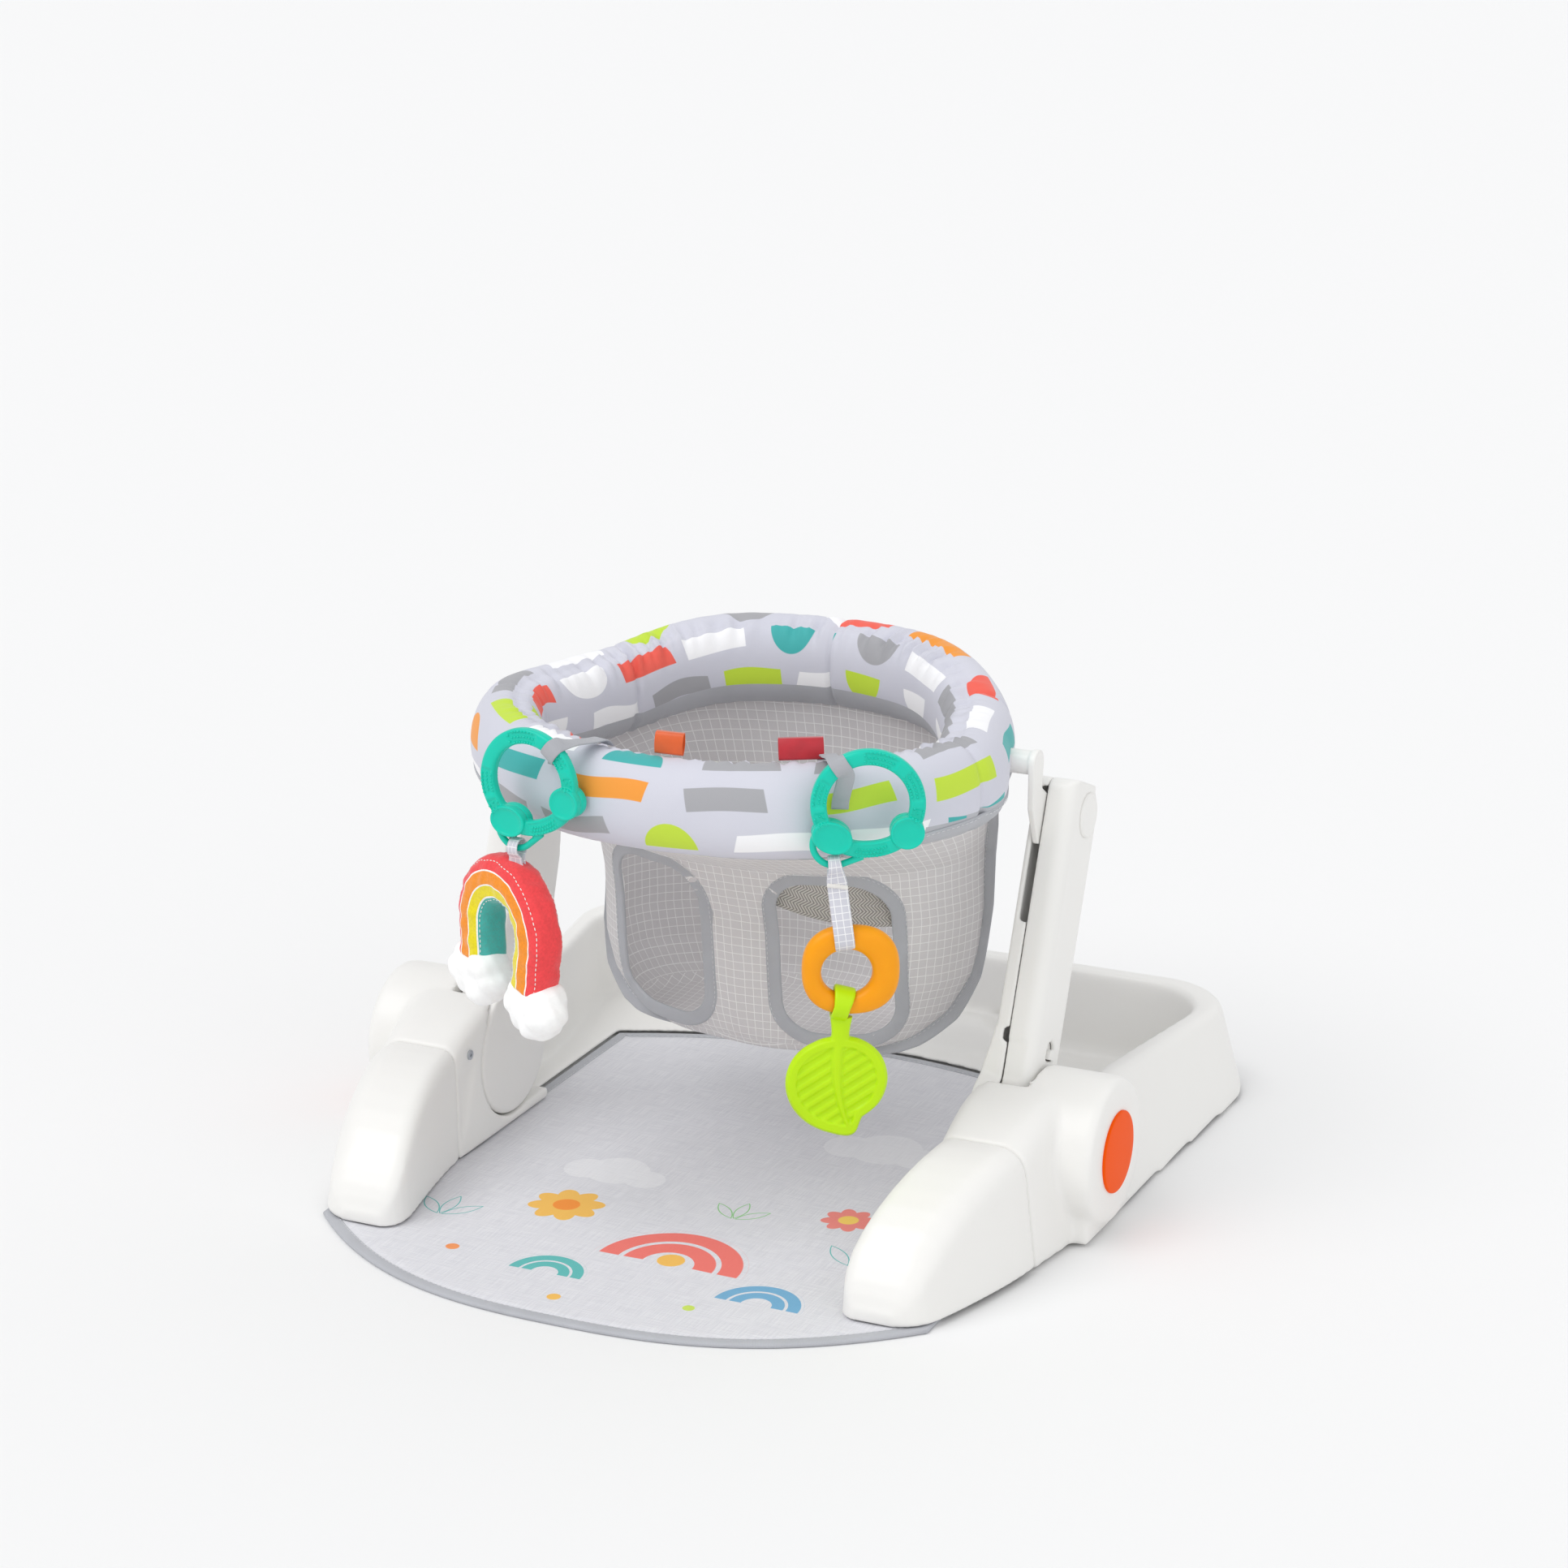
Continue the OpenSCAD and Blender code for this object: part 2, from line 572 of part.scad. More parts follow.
module window_outline(w, z0, z1) intersection() {
    union() {
        translate([-w / 2, z0]) square([w, z1 - z0 - w / 2]);
        translate([0, z1 - w / 2]) circle(r = w / 2, $fn = 48);
    }
    translate([-w, z0]) square([2 * w, z1]);
}

module upright_inner(side) color(white) on_side(side) upright_frame() difference() {
    union() {
        side_plate(upright_in, upright_mid) inner_outline(0);
        // the foot steps inwards to the housing's inner face, inside the room that the housing leaves
        intersection() {
            hull() {
                along_x(foot_in) cylinder(h = 3, r = foot_r - 1.5, $fn = 96);
                along_x(foot_in + 2) cylinder(h = 5, r = foot_r, $fn = 96);
                translate([upright_in, -upright_front, 62]) cube([2, upright_front + inner_rear, 1]);
            }
            side_plate(foot_in - 1, upright_mid) union() {
                circle(r = foot_r + foot_gap / 2, $fn = 96);
                translate([-upright_front, 0]) square([200, 100]);
            }
        }
    }
    // hollow behind the face
    difference() {
        side_plate(upright_in + shell_wall, upright_mid + 1) inner_outline(shell_wall);
        along_x(foot_in) cylinder(h = 20, r = axle_r + run_gap + boss_wall, $fn = 64);
    }
    // blind bore for the axle
    along_x(foot_in + 3.5) cylinder(h = 20, r = axle_r + run_gap, $fn = 64);
    // slot that the seat bracket swings in
    translate([upright_in + shell_wall + 0.8, -upright_front - 1, slot_from])
        cube([inner_t, 6, slot_to - slot_from]);
    // small notch at the foot of the seam
    translate([upright_mid - 3, -upright_front - 1, 52]) cube([4, 6, 8]);
}

tab_from = window_from + 0.8;
module release_tab(side) color(white) on_side(side) upright_frame() {
    // thumb piece in the window
    side_plate(upright_out - shell_wall - slide_gap, upright_out + 1.2) window_outline(tab_w, tab_from, tab_from + 6);
    // guide plate behind the wall
    translate([upright_out - shell_wall - slide_gap - 2, -tab_w / 2 - 3, tab_from]) cube([2, tab_w + 6, 12]);
}

// Cap outside, pin through both shells.
module pivot_cap(side) color(white) on_side(side) upright_frame() translate([0, 0, upright_len]) {
    along_x(upright_out - 1.2) rotate_extrude($fn = 64) polygon([[0, 0], [pivot_cap_r, 0], [pivot_cap_r, 1.4],
        [pivot_cap_r - 0.8, 2.2], [0, 2.2]]);
    along_x(upright_in + shell_wall + 0.2) cylinder(h = upright_out - 1.2 - upright_in - shell_wall, r = pin_r, $fn = 64);
}

// ---------------------------------------------------------------- seat ring

// Centre of the tube at angle a, with 0 at the front and 90 on the right.
function ring_at(a) =
    let (fold = a > 180 ? 360 - a : a,
        half = ring_half_w + (ring_waist - ring_half_w) * ease((fold - 78) / 24),
        reach = fold < 90 ? ring_front : ring_back,
        y = ring_y - reach * cos(fold),
        z = ring_z + ring_rise * ease((y - 60) / 70))
    [half * sin(a), y, z];

// One section of a sweep round the loop: an ellipse of depth d and height h, square to the path in plan.
function ring_section(a, d, h, sides, lift = 0) =
    let (p = ring_at(a), q = ring_at(a + 1) - ring_at(a - 1), n = [q[1], -q[0], 0] / norm([q[0], q[1]]))
    [for (j = [0:sides - 1]) let (b = 360 * j / sides) p + n * (d / 2 * cos(b)) + [0, 0, lift + h / 2 * sin(b)]];

module ring_sweep(d, h, sides, lift = 0)
    loop_solid([for (i = [0:pad_steps - 1]) ring_section(360 * i / pad_steps, d, h, sides, lift)]);

module ring_tube() color(steel) seat_frame() ring_sweep(2 * tube_r, 2 * tube_r, 12);

arm_at = ring_z;
module bracket_outline() {
    circle_at(pivot_y, pivot_z, pin_r + 4.2);
    circle_at(arm_y, arm_at, arm_r + 1);
    polygon([[pivot_y + 3, pivot_z + 8.6], [pivot_y - 4, pivot_z - 8.2], [pivot_y - 27, pivot_z - 12],
        [pivot_y - 33, pivot_z - 10], [arm_y - 8, arm_at - 26], [arm_y - 8, arm_at], [arm_y + 8, arm_at],
        [arm_y + 6, arm_at - 16], [pivot_y - 20, pivot_z + 17]]);
}

bracket_x = upright_mid - bracket_t - 0.3;
module seat_bracket(side) color(white) on_side(side) difference() {
    union() {
        side_plate(bracket_x, bracket_x + bracket_t) bracket_outline();
        translate([0, arm_y, arm_at]) along_x(ring_waist + 4) cylinder(h = bracket_x + 1 - ring_waist - 4, r = arm_r, $fn = 48);
        translate([ring_waist - 1, arm_y, arm_at]) rotate([90, 0, 0])
            cylinder(h = 26, r = collar_r, center = true, $fn = 48);
    }
    translate([0, pivot_y, pivot_z]) along_x(bracket_x - 1) cylinder(h = bracket_t + 2, r = pin_r + run_gap, $fn = 64);
    ring_sweep(2 * tube_r + 2 * slide_gap, 2 * tube_r + 2 * slide_gap, 12);
}

module ring_pad() color(pad_grey) seat_frame() difference() {
    ring_sweep(pad_d, pad_h, pad_sides);
    ring_sweep(2 * tube_r + 2 * slide_gap + 1, 2 * tube_r + 2 * slide_gap + 1, 12);
    for (s = [-1, 1]) mirror([s < 0 ? 1 : 0, 0, 0]) {
        translate([0, arm_y, arm_at]) along_x(ring_waist - 4) cylinder(h = 60, r = arm_r + 1 + slide_gap, $fn = 32);
        translate([ring_waist - 1, arm_y, arm_at]) rotate([90, 0, 0])
            cylinder(h = 26 + 2 * slide_gap, r = collar_r + slide_gap, center = true, $fn = 32);
    }
}

// ---------------------------------------------------------------- sling

// A closed oval in plan: half width w, front edge, back edge, and the y of its widest part.
function oval(w, front, back, mid) = [for (i = [0:47]) let (a = 360 * i / 48)
    [w * sin(a), mid - (cos(a) > 0 ? mid - front : back - mid) * cos(a)]];

module oval_slab(z, w, front, back, mid, inset) translate([0, 0, z]) linear_extrude(0.02)
    polygon(oval(w - inset, front + inset, back - inset, mid));

sling_top = ring_z - pad_h / 2 - slide_gap - 0.2;
module sling_apron(inset, over) hull() {
    oval_slab(sling_top + over, ring_waist + 4, ring_y - ring_front + 4, ring_y + ring_back - 6, 30, inset);
    oval_slab(waist_z - over, sling_half_w, -12, ring_y + ring_back - 2, 72, inset);
}
module sling_bucket(inset, over) hull() {
    oval_slab(waist_z + over, sling_half_w, -12, ring_y + ring_back - 2, 72, inset);
    oval_slab(sling_bottom + 45, sling_half_w - 4, -4, ring_y + ring_back - 8, 66, inset);
    oval_slab(sling_bottom + inset, 88, 8, 112, 60, inset);
}

module seat_sling() color(sling_grey) seat_frame() difference() {
    union() {
        sling_apron(0, 0);
        sling_bucket(0, 0);
    }
    sling_apron(sling_t, 0.5);
    sling_bucket(sling_t, 0.5);
    // leg holes
    for (s = [-1, 1]) translate([s * (crotch_w + leg_w) / 2, 45, sling_bottom + 12 + leg_h / 2]) rotate([90, 0, 0])
        linear_extrude(90) leg_hole();
}

module leg_hole() hull() for (x = [-1, 1]) for (z = [-1, 1])
    translate([x * (leg_w / 2 - 22), z * (leg_h / 2 - 22)]) circle(r = 22, $fn = 32);

// Folded ribbons sewn into the ring's top seam, each at angle a of the loop.
module ribbon(a, w, h) translate(ring_at(a) + [0, 0, pad_h / 2 + slide_gap]) rotate([0, 0, a * 0.9])
    translate([-w / 2, -0.9, 0]) cube([w, 1.8, h]);
module ribbon_tags() color("#C41230") seat_frame() {
    ribbon(31, 26, 11);
    ribbon(3.5, 17, 10);
}

// ---------------------------------------------------------------- toys

module toy_frame(at, turn) seat_frame() translate(at) rotate([0, 0, turn]) rotate([90, 0, 0]) children();
module right_frame() toy_frame(toy_right, toy_turn_right) children();
module left_frame() toy_frame(toy_left, toy_turn_left) children();

function eye_low(spin) = [eye_at * cos(eye_angle + spin), eye_at * sin(eye_angle + spin) - eye_r];
low_left = eye_low(toy_spin_left);
low_right = eye_low(toy_spin_right);

// Ring with two round lobes low on its band and a small eye beside one of them, in its own plane.
module toy_ring_shape() {
    rotate_extrude($fn = 72) translate([toy_rim, 0]) union() {
        for (s = [-1, 1]) translate([s * (toy_band - toy_t) / 2, 0]) circle(r = toy_t / 2, $fn = 24);
        square([toy_band - toy_t, toy_t], center = true);
    }
    for (l = [[222, 9.3], [324, 8.4]]) translate([toy_rim * cos(l[0]), toy_rim * sin(l[0]), 0])
        rotate_extrude($fn = 48) polygon(concat([[0, -toy_t / 2 - 0.8], [l[1] - 0.6, -toy_t / 2 - 0.8]],
            arc([l[1] - 2, 0], 2, -60, 60, 6), [[l[1] - 0.6, toy_t / 2 + 0.8], [0, toy_t / 2 + 0.8]]));
    // the eye: a wire bent round from the band's side to its foot
    translate([eye_at * cos(eye_angle), eye_at * sin(eye_angle), 0]) {
        rotate([0, 0, 150]) rotate_extrude(angle = 140, $fn = 72) translate([eye_r, 0]) circle(r = eye_wire, $fn = 24);
        rotate([0, 0, 290]) translate([eye_r, 0, 0]) rotate([-90, 0, 0]) cylinder(h = 12, r = eye_wire, $fn = 24);
    }
}

module toy_ring(side) color(teal) if (side < 0) left_frame() rotate([0, 0, toy_spin_left]) toy_ring_shape();
    else right_frame() rotate([0, 0, toy_spin_right]) toy_ring_shape();

// Fabric loop round a toy ring's band, with a tail back to the pad.
module toy_loop_shape(at, tail, down) rotate([0, 0, at - 90]) translate([0, toy_rim, -loop_w / 2]) rotate([0, 0, 0])
    translate([0, 0, loop_w / 2]) rotate([0, 90, 0]) translate([0, 0, -loop_w / 2]) linear_extrude(loop_w)
    difference() {
        union() {
            circle(r = toy_band / 2 + 1.2 + strap_t, $fn = 40);
            rotate(down) translate([0, 0]) square([tail, 2.2 * strap_t]);
        }
        circle(r = toy_band / 2 + 1.2, $fn = 40);
    }

module toy_loop(side) color(bind_grey)
    if (side < 0) left_frame() toy_loop_shape(loop_at_left, 18, -15);
    else right_frame() toy_loop_shape(loop_at_right, 20.5, -28);

// Strap from an eye: gathered round the eye's wire at its lowest point, with a flat tail that leans by lean_x.
module strap_shape(at, len, lean_x) translate([at[0], at[1] + eye_lift, 0]) {
    rotate([0, 90, 0]) translate([0, 0, -strap_head / 2]) linear_extrude(strap_head) difference() {
        circle(r = strap_eye + strap_t, $fn = 40);
        circle(r = strap_eye, $fn = 40);
    }
    difference() {
        rotate([0, 0, lean_x]) translate([-strap_w / 2, -len, -strap_t]) cube([strap_w, len, 2 * strap_t]);
        rotate([0, 90, 0]) cylinder(h = 3 * strap_w, r = strap_eye + strap_t / 2, center = true, $fn = 40);
    }
}

rainbow_strap_len = 17;
module rainbow_strap() color(sling_grey) left_frame() strap_shape(low_left, rainbow_strap_len, 0);

// The rainbow turns on its strap, so it has a frame of its own below the strap's end.
module rainbow_frame() left_frame() translate([low_left[0], low_left[1] + eye_lift - rainbow_strap_len - slide_gap, 0])
    rotate([0, rainbow_turn - toy_turn_left, 0]) translate([-6, -rainbow_w / 2, 0]) children();

rainbow_hole = rainbow_w / 2 - rainbow_t - 4;
module rainbow_section() union() {
    for (x = [rainbow_hole + rainbow_t / 2, rainbow_w / 2 - rainbow_t / 2])
        translate([x, 0]) circle(r = rainbow_t / 2, $fn = 40);
    translate([rainbow_hole + rainbow_t / 2, -rainbow_t / 2]) square([rainbow_w / 2 - rainbow_t - rainbow_hole, rainbow_t]);
}
module rainbow() color(plush_red) rainbow_frame() {
    rotate_extrude(angle = 180, $fn = 96) rainbow_section();
    for (s = [0, 1]) mirror([s, 0, 0]) rotate([90, 0, 0])
        linear_extrude(rainbow_leg) rainbow_section();
}

module rainbow_clouds() color(white) rainbow_frame() for (s = [-1, 1])
    translate([s * (rainbow_hole + rainbow_w / 2) / 2, -rainbow_leg - cloud_r + 6, 0]) difference() {
        rotate_extrude($fn = 72) polygon(concat([[0, -rainbow_t / 2]],
            arc([cloud_r - 10, 0], 10, -60, 60, 10), [[0, rainbow_t / 2]]));
        translate([-40, cloud_r - 6 - slide_gap, -40]) cube([80, 40, 80]);
    }

strap_lean = 8.8;
teether_len = 32.4;
// Where the strap crosses the amber teether's band, and that teether's centre.
cross_at = [low_right[0] + teether_len * tan(strap_lean), low_right[1] + eye_lift - teether_len];
amber_at = [cross_at[0] + 4, cross_at[1] - amber_d / 2 - 1.6];
module teether_strap() color(sling_grey) right_frame() {
    strap_shape(low_right, teether_len / cos(strap_lean) + 1, strap_lean);
    translate([amber_at[0], amber_at[1], 0]) rotate([0, 0, band_lean]) translate([-strap_w / 2, band_at, 0])
        rotate([90, 0, 90]) linear_extrude(strap_w) difference() {
            circle(r = amber_sec + 0.9 + strap_t, $fn = 48);
            circle(r = amber_sec + 0.9, $fn = 48);
        }
}

module amber_teether() color(amber) right_frame() translate([amber_at[0], amber_at[1], 0])
    rotate_extrude($fn = 96) translate([amber_rim, 0]) circle(r = amber_sec, $fn = 40);

// The leaf hooks over the amber teether's band at its lowest point.
leaf_hook = [amber_at[0] + hook_at * sin(hook_lean), amber_at[1] - hook_at * cos(hook_lean)];
leaf_mid = [leaf_hook[0] - 3, leaf_hook[1] - amber_sec - 9 - leaf_h / 2];
module leaf_hook_disc(w, r) translate([leaf_hook[0], leaf_hook[1], 0]) rotate([0, 0, hook_lean])
    translate([-w / 2, 0, 0]) rotate([0, 90, 0]) cylinder(h = w, r = r, $fn = 48);
module leaf_teether() color(lime) right_frame() {
    difference() {
        union() {
            leaf_hook_disc(9, amber_sec + 3.6);
            translate([leaf_hook[0] - 4.5, leaf_mid[1] + leaf_h / 2 - 8, -leaf_t / 2]) cube([9, 16, leaf_t]);
            translate([leaf_mid[0], leaf_mid[1], -leaf_t / 2]) linear_extrude(leaf_t) leaf_outline(0);
        }
        leaf_hook_disc(14, amber_sec + 1);
        // sunk panel on both faces, left round the ribs
        for (s = [-1, 1]) translate([leaf_mid[0], leaf_mid[1], s * leaf_t / 2]) linear_extrude(1.6, center = true)
            difference() {
                leaf_outline(5);
                leaf_ribs();
            }
    }
}

// Slanting ribs, all one way, and a midrib.
module leaf_ribs() {
    for (i = [-5:5]) rotate(33) translate([-60, i * 6.4 - 1]) square([120, 2]);
    rotate(-6) translate([-2.2, -60]) square([4.4, 120]);
}

module leaf_outline(inset) union() {
    circle(r = leaf_w / 2 - inset, $fn = 96);
    translate([5, -leaf_h * 0.27]) circle(r = leaf_w * 0.36 - inset, $fn = 96);
    translate([11, -leaf_h * 0.44]) circle(r = leaf_w * 0.17 - inset * 0.6, $fn = 64);
}

// ---------------------------------------------------------------- output

rear_tray();
side_housing(-1);  // side_housing_left
side_housing(1);  // side_housing_right
nose(-1);  // nose_left
nose(1);  // nose_right
nose_screws();
feet();
mat();
mat_binding();
hub_cap(-1);  // hub_cap_left
hub_cap(1);  // hub_cap_right
hub_axle(-1);  // hub_axle_left
hub_axle(1);  // hub_axle_right
upright_inner(-1);  // upright_inner_left
upright_inner(1);  // upright_inner_right
upright_outer(-1);  // upright_outer_left
upright_outer(1);  // upright_outer_right
release_tab(-1);  // release_tab_left
release_tab(1);  // release_tab_right
pivot_cap(-1);  // pivot_cap_left
pivot_cap(1);  // pivot_cap_right
ring_tube();
seat_bracket(-1);  // seat_bracket_left
seat_bracket(1);  // seat_bracket_right
ring_pad();
seat_sling();
ribbon_tags();
toy_loop(-1);  // toy_loop_left
toy_loop(1);  // toy_loop_right
toy_ring(-1);  // toy_ring_left
toy_ring(1);  // toy_ring_right
rainbow();
rainbow_clouds();
rainbow_strap();
teether_strap();
amber_teether();
leaf_teether();
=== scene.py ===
"""Baby floor seat: fabric, toys and smooth mouldings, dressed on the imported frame.

Sizes are in millimetres in the classes below and become metres when a mesh is made.
"""

import logging
import math
from dataclasses import dataclass
from enum import Enum
from typing import Any, Callable, Optional, Sequence, Union

import bpy
import numpy as np
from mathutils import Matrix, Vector
from mathutils.bvhtree import BVHTree


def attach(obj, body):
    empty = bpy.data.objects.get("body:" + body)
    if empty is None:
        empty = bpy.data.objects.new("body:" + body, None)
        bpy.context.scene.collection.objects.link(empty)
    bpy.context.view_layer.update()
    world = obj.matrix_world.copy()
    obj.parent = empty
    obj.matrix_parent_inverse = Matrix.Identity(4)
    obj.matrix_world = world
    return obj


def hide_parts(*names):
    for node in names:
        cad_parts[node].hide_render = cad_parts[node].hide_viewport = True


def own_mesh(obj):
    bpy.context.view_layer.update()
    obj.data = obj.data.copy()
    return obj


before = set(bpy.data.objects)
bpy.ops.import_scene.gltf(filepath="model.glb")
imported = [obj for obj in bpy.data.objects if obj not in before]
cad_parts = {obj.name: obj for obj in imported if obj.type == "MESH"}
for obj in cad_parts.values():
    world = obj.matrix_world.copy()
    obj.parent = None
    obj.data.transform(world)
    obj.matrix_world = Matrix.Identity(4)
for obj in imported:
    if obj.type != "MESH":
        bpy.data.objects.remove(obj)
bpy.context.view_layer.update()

log = logging.getLogger("floor_seat")
MM = 0.001
HUB_Y = -15.0
Array = np.ndarray
UP = np.array([0.0, 0.0, 1.0])
Number = Union[float, "Val"]


# ------------------------------------------------------------------ shader layer


def linear(code: str, share: float = 1.0) -> tuple[float, float, float, float]:
    """Turn a colour code into linear light.

    Args:
        code: six hexadecimal digits after a hash sign.
        share: how much of its light is kept.

    Returns:
        Red, green, blue and alpha from 0 to 1.
    """
    parts = [int(code[i:i + 2], 16) / 255 for i in (1, 3, 5)]
    red, green, blue = (p / 12.92 if p <= 0.04045 else ((p + 0.055) / 1.055) ** 2.4 for p in parts)
    return (red * share, green * share, blue * share, 1.0)


def new_node(tree: bpy.types.NodeTree, kind: str, settings: Optional[dict[str, Any]] = None,
             values: Optional[dict[Union[str, int], Any]] = None) -> bpy.types.Node:
    """Add one node to a tree.

    Args:
        tree: a shader or geometry tree.
        kind: the node's type.
        settings: its properties, which are set first.
        values: numbers, colours or sockets for its inputs, by name or number.

    Returns:
        The node.
    """
    node = tree.nodes.new(kind)
    for key, value in (settings or {}).items():
        setattr(node, key, value)
    for key, value in (values or {}).items():
        value = getattr(value, "socket", value)
        if isinstance(value, bpy.types.NodeSocket):
            tree.links.new(value, node.inputs[key])
        else:
            node.inputs[key].default_value = value
    return node


def arithmetic(operation: str, swap: bool = False) -> Callable[..., "Val"]:
    """Return a method of a value that adds one Math node, with the other value first if swap is set."""
    def method(self: "Val", *others: Number) -> "Val":
        """Return the node's result."""
        return self.tree.math(operation, *((*others, self) if swap else (self, *others)))
    return method


class Val:
    """A socket of a shader tree. Arithmetic on it adds Math nodes."""

    def __init__(self, tree: "Tree", socket: bpy.types.NodeSocket) -> None:
        """Wrap a socket of a tree."""
        self.tree, self.socket = tree, socket

    __add__ = __radd__ = arithmetic("ADD")
    __mul__ = __rmul__ = arithmetic("MULTIPLY")
    __sub__, __rsub__ = arithmetic("SUBTRACT"), arithmetic("SUBTRACT", True)
    __truediv__, __rtruediv__ = arithmetic("DIVIDE"), arithmetic("DIVIDE", True)
    __abs__, high, floor, part, sine, root = map(
        arithmetic, ("ABSOLUTE", "MAXIMUM", "FLOOR", "FRACT", "SINE", "SQRT"))

    def under(self, other: Number, soft: float) -> "Val":
        """Return 1 where this value is under another and 0 where it is over, across an edge soft wide."""
        made = self.tree.math("MULTIPLY_ADD", other - self, 1.0 / soft, 0.5)
        made.socket.node.use_clamp = True
        return made

    def steps(self, low: float, high: float) -> "Val":
        """Return 0 below low and 1 above high, with a smooth ramp between."""
        return self.tree.node("ShaderNodeMapRange", {"interpolation_type": "SMOOTHSTEP"},
                              {"Value": self, "From Min": low, "From Max": high})["Result"]

    def squared(self) -> "Val":
        """Return the value times itself."""
        return self * self


class Made:
    """A node that a material has made; its outputs are read by name or number."""

    def __init__(self, tree: "Tree", node: bpy.types.Node) -> None:
        """Keep the node and its tree."""
        self.tree, self.node = tree, node

    def __getitem__(self, key: Union[str, int]) -> Val:
        """Return an output as a value."""
        return Val(self.tree, self.node.outputs[key])


class Tree:
    """A material's nodes."""

    def __init__(self, name: str) -> None:
        """Start an empty material of that name."""
        self.material = bpy.data.materials.new(name)
        self.material.use_nodes = True
        self.material.node_tree.nodes.clear()

    def node(self, kind: str, settings: Optional[dict[str, Any]] = None,
             values: Optional[dict[Union[str, int], Any]] = None) -> Made:
        """Add one node, with settings and then values, and return it."""
        return Made(self, new_node(self.material.node_tree, kind, settings, values))

    def math(self, operation: str, *values: Number) -> Val:
        """Add a Math node on values and return its result."""
        return self.node("ShaderNodeMath", {"operation": operation}, dict(enumerate(values)))["Value"]

    def mix(self, factor: Number, first: Any, second: Any) -> Val:
        """Return a colour between the first, at a factor of 0, and the second, at 1."""
        return self.node("ShaderNodeMix", {"data_type": "RGBA"}, {0: factor, 6: first, 7: second})[2]

    def ramp(self, stops: Sequence[tuple[float, str]], value: Number) -> Val:
        """Return flat colours along a value.

        Args:
            stops: the place from which each colour code holds.
            value: where it is read.

        Returns:
            The colour.
        """
        made = self.node("ShaderNodeValToRGB", None, {"Fac": value})
        ramp = made.node.color_ramp
        ramp.interpolation = "CONSTANT"
        ramp.elements.remove(ramp.elements[-1])
        for number, (place, code) in enumerate(stops):
            stop = ramp.elements.new(place) if number else ramp.elements[0]
            stop.position, stop.color = place, linear(code)
        return made["Color"]

    def apart(self, vector: Val) -> list[Val]:
        """Return the three values of a vector."""
        made = self.node("ShaderNodeSeparateXYZ", None, {0: vector})
        return [made[axis] for axis in "XYZ"]

    def xyz(self) -> list[Val]:
        """Return the object coordinates as three values, in millimetres."""
        return [axis * 1000.0 for axis in self.apart(self.node("ShaderNodeTexCoord")["Object"])]

    def uv(self) -> list[Val]:
        """Return the piece's own map as two values, in millimetres."""
        place = self.node("ShaderNodeUVMap", {"uv_map": "Cloth"})["UV"]
        return [axis * 1000.0 for axis in self.apart(place)[:2]]

    def point(self, x: Number, y: Number) -> Val:
        """Return a vector of two values."""
        return self.node("ShaderNodeCombineXYZ", None, {0: x, 1: y})["Vector"]

    def noise(self, scale: float, detail: float = 2.0, at: Optional[Val] = None) -> Val:
        """Return a soft random value from 0 to 1 at a place, or at the object coordinates in metres."""
        where = at or self.node("ShaderNodeTexCoord")["Object"]
        return self.node("ShaderNodeTexNoise", None, {"Vector": where, "Scale": scale, "Detail": detail})["Fac"]

    def chance(self, **place: Number) -> Made:
        """Return white noise of a number W or of a Vector, as a node with a Value and a Color."""
        size = "1D" if "W" in place else "2D"
        return self.node("ShaderNodeTexWhiteNoise", {"noise_dimensions": size}, place)

    def weave(self, x: Val, y: Val, warp: float, weft: float) -> Val:
        """Return the threads of a plain weave, from 0 to 1."""
        return (x * warp).sine() * (y * weft).sine() * 0.5 + 0.5

    def surface(self, colour: Any, roughness: Number, height: Optional[Val] = None, depth: float = 0.0002,
                strength: float = 1.0, **fixed: Any) -> bpy.types.Material:
        """Finish the material with one surface shader.

        Args:
            colour: a colour or a value.
            roughness: a number or a value.
            height: bump height from 0 to 1.
            depth: metres that a height of 1 stands for.
            strength: strength of the bump.
            fixed: numbers for the shader's own sockets, with _ for a space.

        Returns:
            The material.
        """
        values: dict[Union[str, int], Any] = {"Base Color": colour, "Roughness": roughness}
        if height is not None:
            values["Normal"] = self.node("ShaderNodeBump", None, {
                "Strength": strength, "Distance": depth, "Height": height})["Normal"]
        values.update((key.replace("_", " "), value) for key, value in fixed.items())
        shader = self.node("ShaderNodeBsdfPrincipled", None, values)
        self.node("ShaderNodeOutputMaterial", None, {"Surface": shader[0]})
        return self.material


# ------------------------------------------------------------------ finishes


@dataclass(frozen=True)
class Finish:
    """A finish of one or more pieces. Its material is made once.

    Attributes:
        name: the material's name.
        colour: its main colour code.
        slot: the slot that it stands for; it is not used.
    """

    name: str
    colour: str
    slot: str

    def material(self) -> bpy.types.Material:
        """Return the material, and make it the first time."""
        found = bpy.data.materials.get(self.name)
        return found or self.shade(Tree(self.name))

    def shade(self, t: Tree) -> bpy.types.Material:
        """Build the nodes. Each kind of finish has its own."""
        raise NotImplementedError


@dataclass(frozen=True)
class Moulded(Finish):
    """Moulded plastic with a fine spark-eroded grain, a little dulled where it is handled."""

    roughness: float = 0.3
    grain: float = 0.00003
    gloss: float = 0.45

    def shade(self, t: Tree) -> bpy.types.Material:
        """Build the nodes."""
        colour = t.mix(t.noise(9.0, 3.0), linear(self.colour, 0.965), linear(self.colour))
        rough = self.roughness - 0.05 + 0.1 * t.noise(38.0, 4.0)
        return t.surface(colour, rough, t.noise(1500.0), self.grain, 0.5, Specular_IOR_Level=self.gloss)


